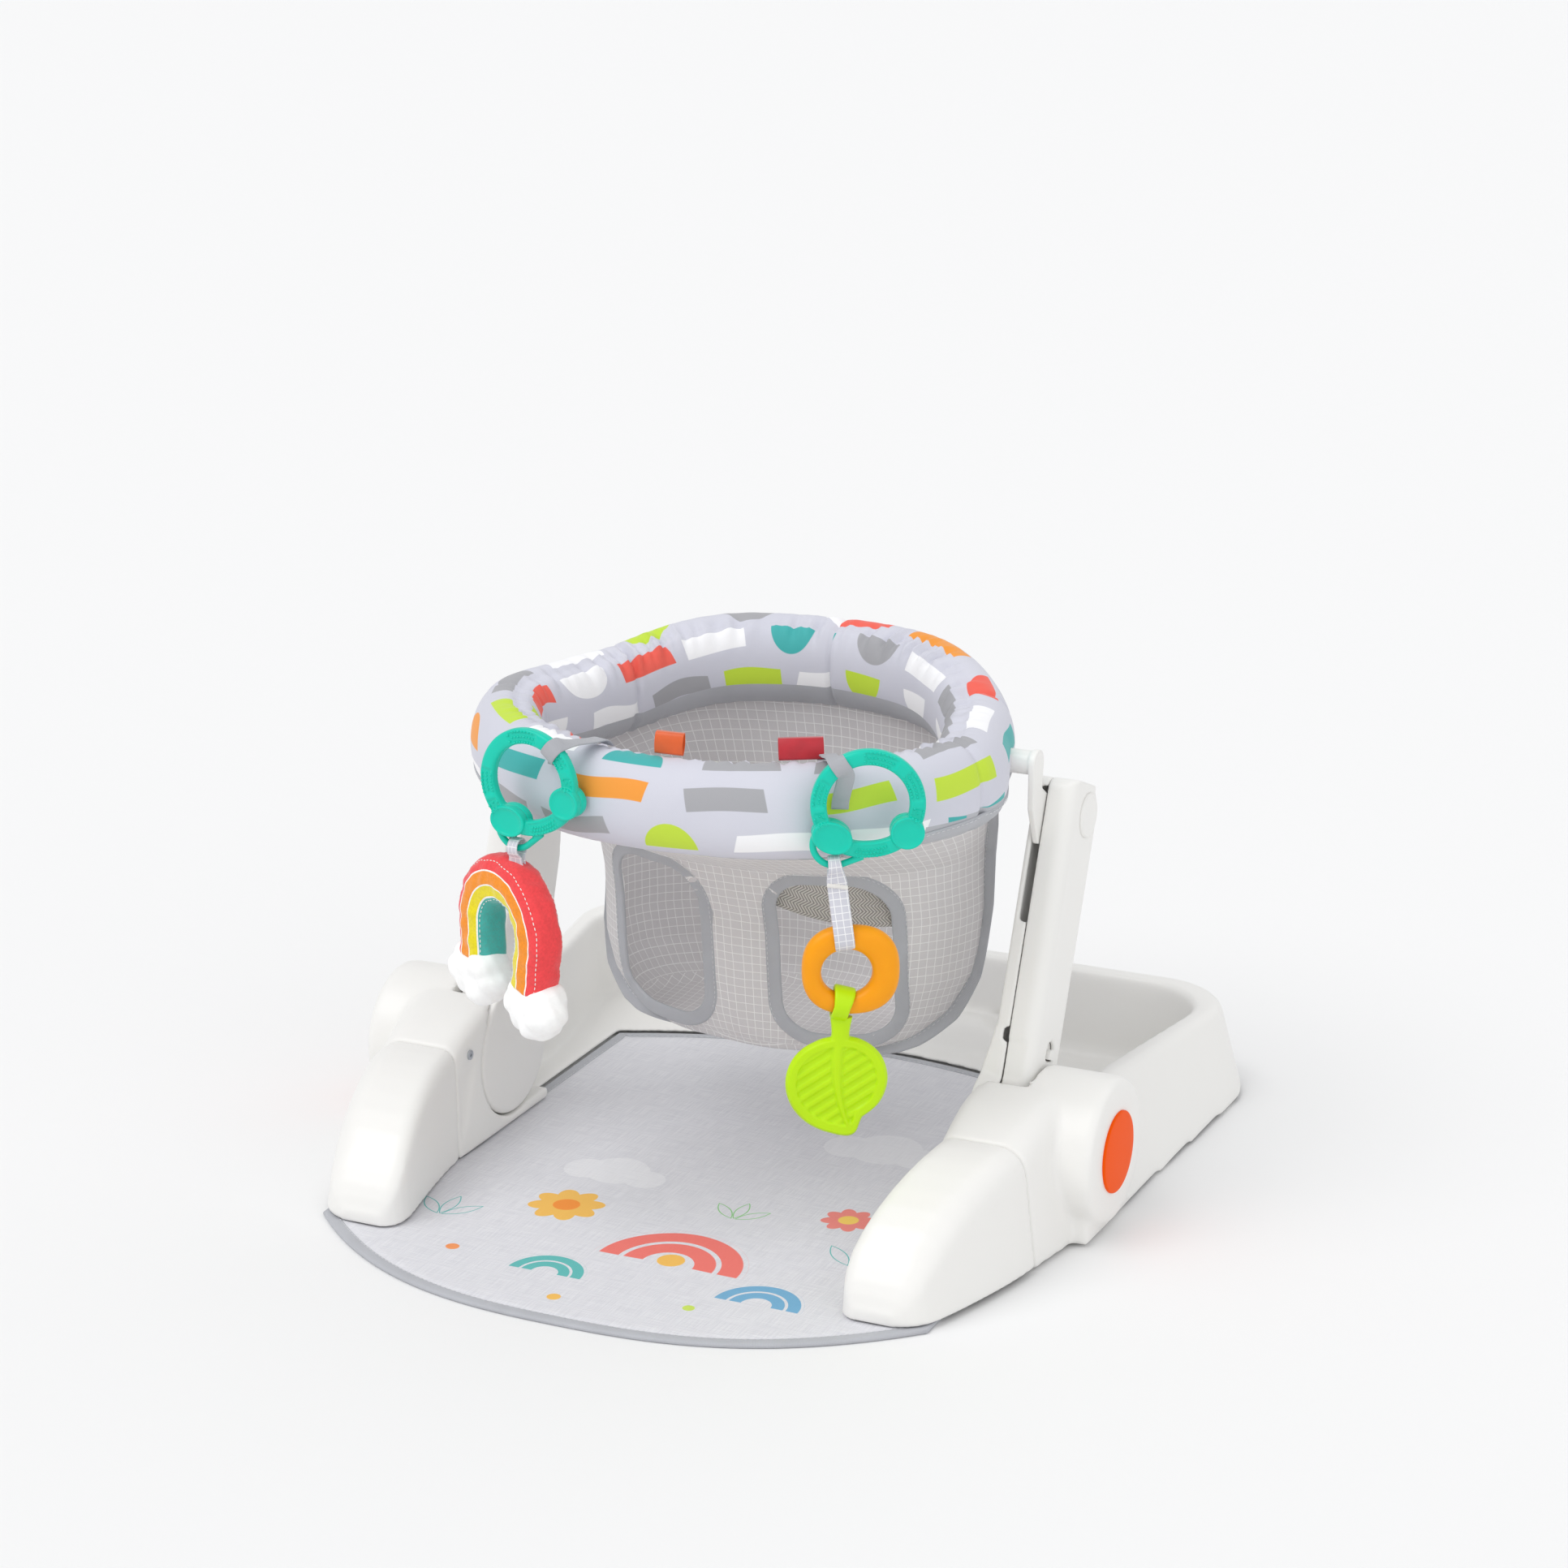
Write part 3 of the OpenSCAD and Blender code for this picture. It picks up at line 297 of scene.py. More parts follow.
@dataclass(frozen=True)
class Silicone(Finish):
    """Soft silicone that lets a little light in."""

    depth: float = 0.25
    roughness: float = 0.36

    def shade(self, t: Tree) -> bpy.types.Material:
        """Build the nodes."""
        colour = t.mix(t.noise(60.0, 3.0), linear(self.colour, 0.9), linear(self.colour))
        return t.surface(colour, self.roughness - 0.04 + 0.08 * t.noise(120.0), t.noise(700.0, 3.0), 0.00004, 0.5,
                         Subsurface_Weight=self.depth, Subsurface_Radius=(0.006, 0.003, 0.001),
                         Subsurface_Scale=0.6, Specular_IOR_Level=0.28)


@dataclass(frozen=True)
class Metal(Finish):
    """Bright zinc on steel."""

    def shade(self, t: Tree) -> bpy.types.Material:
        """Build the nodes."""
        rough = 0.28 + 0.14 * t.noise(900.0, 3.0)
        return t.surface(linear(self.colour), rough, t.noise(2500.0, 2.0), 0.00002, 0.4, Metallic=1.0)


@dataclass(frozen=True)
class Rubber(Finish):
    """Matt moulded rubber."""

    def shade(self, t: Tree) -> bpy.types.Material:
        """Build the nodes."""
        colour = t.mix(t.noise(80.0), linear(self.colour), linear("#6A6D70"))
        return t.surface(colour, 0.75, t.noise(1200.0, 3.0), 0.00008, 0.6)


@dataclass(frozen=True)
class Printed(Finish):
    """Smooth polyester knit printed with rows of hand-cut blocks and half rounds."""

    row: float = 24.5
    pitch: float = 56.0

    def shade(self, t: Tree) -> bpy.types.Material:
        """Build the nodes."""
        u, v = t.uv()
        v = v + 4.0
        row = (v / self.row).floor()
        line = t.apart(t.chance(W=row + 3.7)["Color"])
        pitch = self.pitch * (0.92 + 0.22 * line[0])
        along = u / pitch + line[1] * 5.0
        cell = along.floor()
        drawn = t.chance(Vector=t.point(cell, row))
        one, two, three = t.apart(drawn["Color"])
        x = (along.part() - 0.5) * pitch
        y = ((v / self.row).part() - 0.5) * self.row
        # a block whose ends slant and whose long sides bow a little
        half = 20.0 + 3.5 * one
        bow = (x * 0.10 + three * 6.0).sine() * ((two - 0.5) * 4.6) + x * ((one - 0.5) * 0.10)
        block = abs(x + y * (three - 0.5) * 0.55).under(half, 0.45) * abs(y + bow).under(5.6 + 1.3 * two, 0.45)
        # a half round on its flat side
        dome = ((x / (14.0 + 4.5 * three)).squared() + ((y + 8.5) / 17.5).squared()).under(1.0, 0.06) * (
            x * (two - 0.5) * 0.2 - y).under(8.5, 0.45)
        pick = drawn["Value"].under(0.70, 0.001)
        ink = t.ramp([(0.0, "#FCFCFE"), (0.25, "#A8A8AC"), (0.46, "#38B0AE"), (0.68, "#C6E334"), (0.82, "#FCFCFE"),
                      (0.87, "#F59C30"), (0.94, "#F3604F")], t.chance(Vector=t.point(cell + 17.0, row + 5.0))["Value"])
        ground = t.mix(t.noise(14.0, 3.0), linear(self.colour), linear("#CDCEDA"))
        knit = t.weave(u, v, 5.2, 7.4)
        colour = t.mix(knit * 0.07, t.mix(pick * block + (1.0 - pick) * dome, ground, ink), linear("#8E8F9C"))
        return t.surface(colour, 0.62 + 0.08 * t.noise(90.0), knit * 0.4 + t.noise(420.0, 4.0) * 0.6, 0.00012, 0.6,
                         Sheen_Weight=0.15, Sheen_Roughness=0.4)


@dataclass(frozen=True)
class Gridded(Finish):
    """Plain woven cloth with a fine white grid."""

    pitch: float = 5.3
    line: float = 0.2

    def shade(self, t: Tree) -> bpy.types.Material:
        """Build the nodes."""
        u, v = t.uv()
        wobble = (t.noise(0.05, 2.0, t.point(u, v)) - 0.5) * 1.2
        across, along = (abs(((place / self.pitch).part() - 0.5) * self.pitch).under(self.line, 0.3)
                         for place in (u + wobble, v + wobble * 0.7))
        lines = across.high(along)
        ground = t.mix(t.noise(22.0, 4.0), linear(self.colour), linear(self.colour, 0.9))
        weave = t.weave(u, v, 7.4, 7.4)
        broken = 0.72 + 0.28 * t.noise(0.9, 2.0, t.point(u, v))
        colour = t.mix(weave * 0.08, t.mix(lines * broken, ground, linear("#FFFFFE")), linear("#A09EA3"))
        height = weave * 0.45 + t.noise(500.0, 3.0) * 0.35 + lines * 0.2
        return t.surface(colour, 0.78 + 0.08 * t.noise(70.0), height, 0.00016, 0.8, Sheen_Weight=0.12)


@dataclass(frozen=True)
class Tape(Finish):
    """Ribbed woven tape, as a binding or a loop."""

    rib: float = 0.62

    def shade(self, t: Tree) -> bpy.types.Material:
        """Build the nodes."""
        ribs, cross = ((place * (math.tau / size)).sine() * 0.5 + 0.5 for place, size in zip(t.uv(), (self.rib, 0.5)))
        colour = t.mix(t.noise(45.0, 3.0), linear(self.colour), linear(self.colour, 0.82))
        colour = t.mix(ribs * 0.12, colour, linear("#E8E8EC"))
        return t.surface(colour, 0.7 + 0.1 * t.noise(60.0), ribs * 0.6 + cross * 0.4, 0.00014, 0.8, Sheen_Weight=0.15)


@dataclass(frozen=True)
class Herringbone(Finish):
    """Woven webbing with a herringbone twill."""

    def shade(self, t: Tree) -> bpy.types.Material:
        """Build the nodes."""
        u, v = t.uv()
        fold = abs((v / 7.0).part() - 0.5) * 7.0
        twill = ((u + fold) * (math.tau / 2.0)).sine() * 0.5 + 0.5
        colour = t.mix(twill, linear("#8A8682"), linear(self.colour))
        return t.surface(colour, 0.8, twill, 0.0003, 0.9, Sheen_Weight=0.1)


@dataclass(frozen=True)
class Satin(Finish):
    """Satin ribbon with a fold's soft gloss."""

    def shade(self, t: Tree) -> bpy.types.Material:
        """Build the nodes."""
        threads = (t.uv()[1] * 9.0).sine() * 0.5 + 0.5
        colour = t.mix(t.noise(130.0), linear(self.colour), linear(self.colour, 0.7))
        return t.surface(colour, 0.34 + 0.12 * t.noise(200.0), threads, 0.00005, 0.5, Sheen_Weight=0.4)


@dataclass(frozen=True)
class Nap(Finish):
    """Short-napped plush with a sheen."""

    nap: float = 650.0

    def shade(self, t: Tree) -> bpy.types.Material:
        """Build the nodes."""
        tuft = t.noise(self.nap, 5.0)
        colour = t.mix(tuft.steps(0.35, 0.7) * 0.2, linear(self.colour), linear(self.colour, 0.86))
        return t.surface(colour, 0.86, tuft * 0.5 + t.noise(160.0, 3.0) * 0.5, 0.0003, 0.5, Sheen_Weight=0.4,
                         Sheen_Roughness=0.45)


@dataclass(frozen=True)
class Arched(Finish):
    """Plush sewn from bands across the piece's own map: red, orange, yellow and teal with white lines."""

    def shade(self, t: Tree) -> bpy.types.Material:
        """Build the nodes."""
        band = t.ramp([(0.0, "#46B5AC"), (0.150, "#FBFBF6"), (0.182, "#EFDE12"), (0.395, "#FBFBF6"),
                       (0.427, "#F99414"), (0.690, "#FBFBF6"), (0.722, "#F5464B")], t.uv()[1] / 30.0)
        tuft = t.noise(620.0, 5.0)
        colour = t.mix(tuft.steps(0.3, 0.75) * 0.16, band, linear("#7A2A1C"))
        return t.surface(colour, 0.84, tuft * 0.7 + t.noise(180.0, 3.0) * 0.3, 0.0004, 0.6, Sheen_Weight=0.4,
                         Sheen_Roughness=0.4)


class Motif(Enum):
    """Printed shapes on the mat."""

    HILL = "hill"
    FLOWER = "flower"
    SPRIG = "sprig"
    DOT = "dot"
    PUFF = "puff"


@dataclass(frozen=True)
class Print:
    """One printed shape: its kind, middle, size and colour code, in millimetres."""

    kind: Motif
    x: float
    y: float
    size: float
    ink: str


@dataclass(frozen=True)
class Melange(Finish):
    """Heathered mat cloth with a light print of generic shapes."""

    prints: tuple[Print, ...] = ()

    def shape(self, t: Tree, p: Print, x: Val, y: Val) -> Val:
        """Return the mask of one printed shape.

        Args:
            t: the material's tree.
            p: the shape.
            x: place across, in millimetres.
            y: place along, in millimetres.

        Returns:
            A mask from 0 to 1.
        """
        dx, dy = x - p.x, y - p.y
        away = (dx.squared() + dy.squared()).root()
        if p.kind is Motif.FLOWER:
            petal = p.size * 0.78 + abs((t.math("ARCTAN2", dy, dx) * 4.0).sine()) * (p.size * 0.3)
            return away.under(petal, 0.5)
        mask = away.under(p.size, 0.5)
        if p.kind is Motif.PUFF:
            for sx, sy, s in ((-1.0, -0.2, 0.72), (1.05, -0.25, 0.66)):
                side = ((dx - sx * p.size).squared() + (dy - sy * p.size).squared()).root()
                mask = mask.high(side.under(p.size * s, 0.5))
        elif p.kind is Motif.HILL:
            rings = (away / (p.size / 3.0)).part().under(0.8, 0.04)
            mask = mask * (0.0 - dy).under(0.0, 0.5) * rings * (0.0 - away).under(-p.size * 0.3, 0.5)
        elif p.kind is Motif.SPRIG:
            mask = 0.0 * away
            for angle in (-0.75, 0.0, 0.75):
                c, s = math.cos(angle), math.sin(angle)
                lx, ly = dx * c + dy * s, dy * c - dx * s - p.size * 0.62
                blade = abs(lx) * 3.1 + ly.squared() / (p.size * 0.55)
                mask = mask.high(blade.under(p.size * 0.55, 0.6) * (1.0 - blade.under(p.size * 0.55 - 2.2, 0.6)))
        return mask

    def shade(self, t: Tree) -> bpy.types.Material:
        """Build the nodes."""
        x, y = t.xyz()[:2]
        heather = (t.noise(1.0, 3.0, t.point(x * 0.05, y * 1.6)) + t.noise(1.0, 3.0, t.point(x * 1.6, y * 0.05))) * 0.5
        colour = t.mix(heather.steps(0.36, 0.64), linear("#D6D6DC"), linear("#E6E6EA"))
        for p in self.prints:
            strength = 0.45 if p.kind is Motif.PUFF else 0.9
            colour = t.mix(self.shape(t, p, x, y) * strength, colour, linear(p.ink))
        height = t.weave(x, y, 6.0, 6.0) * 0.4 + heather * 0.4 + t.noise(500.0, 3.0) * 0.2
        return t.surface(colour, 0.82 + 0.08 * t.noise(60.0), height, 0.00022, 0.8, Sheen_Weight=0.1)


@dataclass(frozen=True)
class Seamless(Finish):
    """The studio floor."""

    def shade(self, t: Tree) -> bpy.types.Material:
        """Build the nodes."""
        return t.surface(linear(self.colour), 0.9, Specular_IOR_Level=0.1)


WHITE = Moulded("White moulded plastic", "#F2F1EE", "white_plastic", 0.34)
ORANGE = Moulded("Orange moulded plastic", "#FA5A08", "orange_plastic", 0.4, 0.00002, 0.05)
TEAL = Silicone("Teal moulded plastic", "#12D0B6", "teal_plastic", 0.04, 0.3)
AMBER = Silicone("Amber silicone", "#FCA404", "amber_silicone", 0.2, 0.38)
LIME = Silicone("Lime silicone", "#C2EE06", "lime_plastic", 0.12, 0.36)
ZINC = Metal("Zinc plated steel", "#C4C8CC", "steel")
FOOT = Rubber("Grey rubber", "#55585C", "rubber")
COVER = Printed("Printed ring cover", "#D9D9E3", "pad_fabric")
GRID = Gridded("Grey grid cloth", "#E0DDDE", "grid_fabric")
PALE_GRID = Gridded("Pale grid cloth", "#D6D6DF", "grid_fabric", 3.9, 0.2)
BINDING = Tape("Grey binding", "#BCBEC4", "binding")
LOOP_TAPE = Tape("Grey loop tape", "#B2B4BA", "binding", 0.5)
THREAD = Tape("Pale thread", "#DCDDE0", "binding", 0.3)
WHITE_THREAD = Tape("White thread", "#F6F3EE", "white_plush", 0.3)
WEBBING = Herringbone("Herringbone webbing", "#D3CEC8", "grid_fabric")
RED_SATIN = Satin("Red satin", "#C8142A", "ribbon")
ORANGE_SATIN = Satin("Orange satin", "#F0641E", "ribbon")
ARCH = Arched("Banded plush", "#F5464B", "plush")
CLOUD = Nap("White plush", "#FFFFFE", "white_plush", 420.0)
MAT_CLOTH = Melange("Heathered mat cloth", "#D6D7DB", "mat_fabric", (
    Print(Motif.PUFF, -62, -60, 19, "#F2F2F4"), Print(Motif.PUFF, 70, 36, 22, "#F2F2F4"),
    Print(Motif.FLOWER, -66, -118, 21, "#F6B91E"), Print(Motif.DOT, -66, -118, 8, "#F58A1E"),
    Print(Motif.HILL, 24, -168, 46, "#F2604E"), Print(Motif.DOT, 24, -163, 8, "#F6B91E"),
    Print(Motif.HILL, -34, -206, 24, "#35B5B0"), Print(Motif.HILL, 92, -196, 27, "#5AA6CF"),
    Print(Motif.SPRIG, -128, -160, 24, "#35B5B0"), Print(Motif.SPRIG, 118, -128, 26, "#35B5B0"),
    Print(Motif.SPRIG, 30, -96, 21, "#7BC86C"), Print(Motif.FLOWER, 92, -70, 15, "#F2796A"),
    Print(Motif.DOT, 92, -70, 6, "#F9D65A"), Print(Motif.DOT, -14, -232, 4, "#F6B91E"),
    Print(Motif.DOT, -98, -196, 4, "#F58A1E"), Print(Motif.DOT, 60, -214, 3.5, "#C8E234")))
FLOOR = Seamless("Studio floor", "#F1F1F1", "white_plastic")


# ------------------------------------------------------------------ mesh layer


def ease(t: Array) -> Array:
    """Return the smooth step of values from 0 to 1."""
    t = np.clip(t, 0, 1)
    return t * t * (3 - 2 * t)


def unit(v: Array) -> Array:
    """Return vectors of length one."""
    return v / np.maximum(np.linalg.norm(v, axis=-1, keepdims=True), 1e-12)


def run_of(path: Array) -> Array:
    """Return the distance along an open path at each of its points."""
    return np.concatenate([[0], np.cumsum(np.linalg.norm(np.diff(path, axis=0), axis=1))])


def blurred(line: Array, rounds: int, loop: bool = False) -> Array:
    """Return a line of values or points with its corners softened; an open line keeps its ends."""
    line = line.copy()
    for _ in range(rounds):
        if loop:
            line = (np.roll(line, 1, 0) + np.roll(line, -1, 0) + 2 * line) / 4
        else:
            line[1:-1] = (line[:-2] + line[2:] + 2 * line[1:-1]) / 4
    return line


def waves(points: Array, seed: int, count: int, pitch: float, height: float) -> Array:
    """Return soft random heights at points.

    Args:
        points: rows of two or three numbers.
        seed: seed of the draws.
        count: how many waves are summed.
        pitch: how close the waves are.
        height: height of each.

    Returns:
        One height a point.
    """
    rng = np.random.default_rng(seed)
    total = np.zeros(len(points))
    for _ in range(count):
        k = rng.normal(size=points.shape[1]) * pitch
        total += np.sin(points @ k + rng.uniform(0, 6.3)) * height
    return total


def quads(rows: int, columns: int, loop_rows: bool = False, loop_columns: bool = True) -> Array:
    """Return the faces of a grid of points whose columns run fastest.

    Args:
        rows: points one way.
        columns: points the other way.
        loop_rows: the last row joins the first.
        loop_columns: the last column joins the first.

    Returns:
        Four corner numbers a face.
    """
    i = np.arange(rows if loop_rows else rows - 1)[:, None]
    j = np.arange(columns if loop_columns else columns - 1)[None, :]
    near, far = i * columns, (i + 1) % rows * columns
    return np.stack([near + j, near + (j + 1) % columns, far + (j + 1) % columns, far + j], -1).reshape(-1, 4)


def vectors(items: Any, key: str) -> Array:
    """Return a property of a mesh's elements as rows of three numbers."""
    values = np.zeros(len(items) * 3)
    items.foreach_get(key, values)
    return values.reshape(-1, 3)


def piece(name: str, points: Array, faces: Sequence, finish: Finish, uv: Optional[Array] = None) -> bpy.types.Object:
    """Make an object from points in millimetres.

    Args:
        name: its name.
        points: rows of three numbers.
        faces: corner numbers of each face.
        finish: its finish.
        uv: a place on the cloth in millimetres for each corner of each face.

    Returns:
        The object, linked to the scene.
    """
    mesh = bpy.data.meshes.new(name)
    points = np.asarray(points, float).reshape(-1, 3)
    mesh.from_pydata((points * MM).tolist(), [], [list(map(int, f)) for f in faces])
    if uv is not None:
        layer = mesh.uv_layers.new(name="Cloth")
        layer.data.foreach_set("uv", (np.asarray(uv, float) * MM).astype(np.float32).ravel())
    mesh.shade_smooth()
    mesh.materials.append(finish.material())
    thing = bpy.data.objects.new(name, mesh)
    bpy.context.scene.collection.objects.link(thing)
    return thing


def closed(rows: int, wide: int) -> list[list[int]]:
    """Return the faces of closed rows of points that follow one another, with both ends filled."""
    ends = [list(range(wide))[::-1], list(range((rows - 1) * wide, rows * wide))]
    return [list(f) for f in quads(rows, wide)] + ends


def stacked(name: str, rows: Array, finish: Finish) -> bpy.types.Object:
    """Make a closed piece from closed rows of points that follow one another."""
    return outward(piece(name, rows, closed(*rows.shape[:2]), finish))


def swept(name: str, finish: Finish, *path: Any, place: Optional[Callable[[Array], Array]] = None) -> bpy.types.Object:
    """Make a piece without a map by a sweep.

    Args:
        name: the piece's name.
        finish: its finish.
        path: what sweep takes.
        place: moves the points.

    Returns:
        The piece.
    """
    points, faces = sweep(*path)[:2]
    return outward(piece(name, place(points) if place else points, faces, finish))


def bake(thing: bpy.types.Object) -> bpy.types.Object:
    """Turn an object with live modifiers into a plain mesh, and return it."""
    bpy.context.view_layer.update()
    mesh = bpy.data.meshes.new_from_object(thing.evaluated_get(bpy.context.evaluated_depsgraph_get()))
    thing.modifiers.clear()
    mesh.name = thing.name
    thing.data = mesh
    return thing


def fused(name: str, parts: Sequence[bpy.types.Object], voxel: float, rounds: int, finish: Finish) -> bpy.types.Object:
    """Fuse closed shapes into one skin with soft fillets.

    Args:
        name: the new piece's name.
        parts: the shapes, which are used up.
        voxel: grid size in millimetres.
        rounds: smoothing passes.
        finish: the piece's finish.

    Returns:
        The piece.
    """
    thing = parts[0]
    if len(parts) > 1:
        with bpy.context.temp_override(active_object=thing, selected_editable_objects=list(parts)):
            bpy.ops.object.join()
    thing.name = name
    remesh = thing.modifiers.new("Skin", "REMESH")
    remesh.mode, remesh.voxel_size, remesh.use_smooth_shade = "VOXEL", voxel * MM, True
    smooth = thing.modifiers.new("Fillet", "SMOOTH")
    smooth.factor, smooth.iterations = 0.5, rounds
    bake(thing)
    thing.data.materials.clear()
    thing.data.materials.append(finish.material())
    thing.data.shade_smooth()
    return thing


def node_object(node: str) -> bpy.types.Object:
    """Return the object of a CAD node."""
    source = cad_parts[node]
    return bpy.data.objects[source] if isinstance(source, str) else source


def copy_of(node: str) -> bpy.types.Object:
    """Return a copy of a CAD node with its corners merged."""
    source = node_object(node)
    thing = bpy.data.objects.new(node + "_copy", source.data.copy())
    bpy.context.scene.collection.objects.link(thing)
    thing.matrix_world = source.matrix_world
    thing.modifiers.new("Weld", "WELD").merge_threshold = 1e-6
    return bake(thing)


def sweep(centre: Array, side: Array, up: Array, section: Array, loop: bool) -> tuple[Array, Sequence, Array]:
    """Sweep a closed section along a path.

    Args:
        centre: the path's points.
        side: the section's first direction, at each point or at all.
        up: the section's second direction, in the same way.
        section: points of the section, the same for all or one set for each point of the path.
        loop: the path is closed.

    Returns:
        The points, the faces and the cloth places of the faces' corners.
    """
    count = len(centre)
    side, up = np.broadcast_to(side, centre.shape), np.broadcast_to(up, centre.shape)
    cut = np.broadcast_to(section, (count,) + np.asarray(section).shape[-2:])
    points = centre[:, None] + side[:, None] * cut[..., :1] + up[:, None] * cut[..., 1:]
    wide = points.shape[1]
    faces: Sequence = quads(count, wide, loop)
    along, around = (run_of(np.vstack([p, p[:1]])) for p in (centre, cut[0]))
    i, j = np.divmod(np.arange(len(faces)), wide)
    uv = np.stack([np.stack([along[i + a], around[j + b]], -1) for a, b in ((0, 0), (0, 1), (1, 1), (1, 0))], 1)
    uv = uv.reshape(-1, 2)
    if not loop:
        faces, uv = closed(count, wide), np.concatenate([uv, np.zeros((2 * wide, 2))])
    return points.reshape(-1, 3), faces, uv


def slab(width: float, thick: float, steps: int = 4) -> Array:
    """Return the section of a tape with rounded long edges."""
    r = thick / 2
    a = np.linspace(-90, 90, steps + 1)
    right = [(width / 2 - r + r * math.cos(math.radians(q)), r * math.sin(math.radians(q))) for q in a]
    return np.array(right + [(-x, -y) for x, y in right])


def oval(wide: float, tall: float, sides: int, power: float = 2.0) -> Array:
    """Return an oval section, squarer as power grows over 2."""
    a = np.arange(sides) * math.tau / sides
    return np.stack([size / 2 * np.sign(way) * np.abs(way) ** (2 / power)
                     for size, way in ((wide, np.cos(a)), (tall, np.sin(a)))], -1)


def tape_along(name: str, path: Array, normal: Array, width: Union[float, Array], thick: float, finish: Finish,
               loop: bool = False) -> bpy.types.Object:
    """Make a flat tape along a path.

    Args:
        name: the piece's name.
        path: points of its middle.
        normal: the direction that its face looks, at each point.
        width: its width, the same all along or one for each point.
        thick: its thickness.
        finish: its finish.
        loop: the path is closed.

    Returns:
        The piece.
    """
    if loop:
        run = unit(np.roll(path, -1, 0) - np.roll(path, 1, 0))
    else:
        run = unit(np.gradient(path, axis=0))
    face = unit(normal - run * np.sum(normal * run, -1, keepdims=True))
    across = np.cross(face, run)
    cut = slab(width, thick) if isinstance(width, float) else np.stack([slab(float(w), thick) for w in width])
    points, faces, uv = sweep(path, across, face, cut, loop)
    return outward(piece(name, points, faces, finish, uv))


def seated(thing: bpy.types.Object, points: Array, lift: float = 0.15) -> tuple[Array, Array]:
    """Return the nearest places on a piece's skin, lifted a little, and the directions that it faces there."""
    mesh = thing.data
    tree = BVHTree.FromPolygons([v.co for v in mesh.vertices], [tuple(f.vertices) for f in mesh.polygons])
    found = [tree.find_nearest(Vector(p) * MM) for p in points]
    face = np.array([tuple(hit[1]) for hit in found])
    return np.array([tuple(hit[0]) for hit in found]) / MM + face * lift, face


def outward(thing: bpy.types.Object) -> bpy.types.Object:
    """Turn a closed mesh's faces outwards."""
    mesh = thing.data
    mesh.calc_loop_triangles()
    corners = np.zeros(len(mesh.loop_triangles) * 3, int)
    mesh.loop_triangles.foreach_get("vertices", corners)
    a, b, c = vectors(mesh.vertices, "co")[corners.reshape(-1, 3).T]
    if np.sum(a * np.cross(b, c)) < 0:
        mesh.flip_normals()
    return thing


def puff(thing: bpy.types.Object, pressure: float, cap: float, held: Optional[Array] = None) -> None:
    """Swell a closed cloth skin by pressure, with no gravity, and keep the result.

    Args:
        thing: the skin.
        pressure: pressure inside.
        cap: how far a point may move, in millimetres.
        held: how firmly each point is held, from 0 to 1.
    """
    before = vectors(thing.data.vertices, "co")
    cloth = thing.modifiers.new("Cloth", "CLOTH")
    rules = cloth.settings
    rules.quality = 5
    rules.mass = 0.3
    rules.tension_stiffness = rules.compression_stiffness = 12
    rules.bending_stiffness = 0.3
    rules.use_pressure = True
    rules.uniform_pressure_force = pressure
    rules.effector_weights.gravity = 0
    if held is not None:
        group = thing.vertex_groups.new(name="Held")
        for number in np.nonzero(held > 0)[0]:
            group.add([int(number)], float(held[number]), "REPLACE")
        rules.vertex_group_mass = "Held"
    scene = bpy.context.scene
    for number in range(1, 21):
        scene.frame_set(number)
    result = thing.evaluated_get(bpy.context.evaluated_depsgraph_get()).data
    move = vectors(result.vertices, "co") - before
    thing.modifiers.clear()
    scene.frame_set(1)
    far = np.linalg.norm(move, axis=1, keepdims=True)
    move *= np.minimum(1, cap * MM / np.maximum(far, 1e-9))
    thing.data.vertices.foreach_set("co", (before + move).ravel())
    thing.data.update()


def finer(thing: bpy.types.Object, levels: int = 1) -> bpy.types.Object:
    """Subdivide a piece smoothly and keep the result."""
    made = thing.modifiers.new("Finer", "SUBSURF")
    made.levels = made.render_levels = levels
    return bake(thing)


def moved(thing: bpy.types.Object, change: Callable[[Array, Array], Array]) -> None:
    """Move a piece's points by a function of points and normals, in millimetres, that returns points."""
    mesh = thing.data
    points = change(vectors(mesh.vertices, "co") / MM, vectors(mesh.vertex_normals, "vector"))
    mesh.vertices.foreach_set("co", (points * MM).ravel())
    mesh.update()


# ------------------------------------------------------------------ repeats


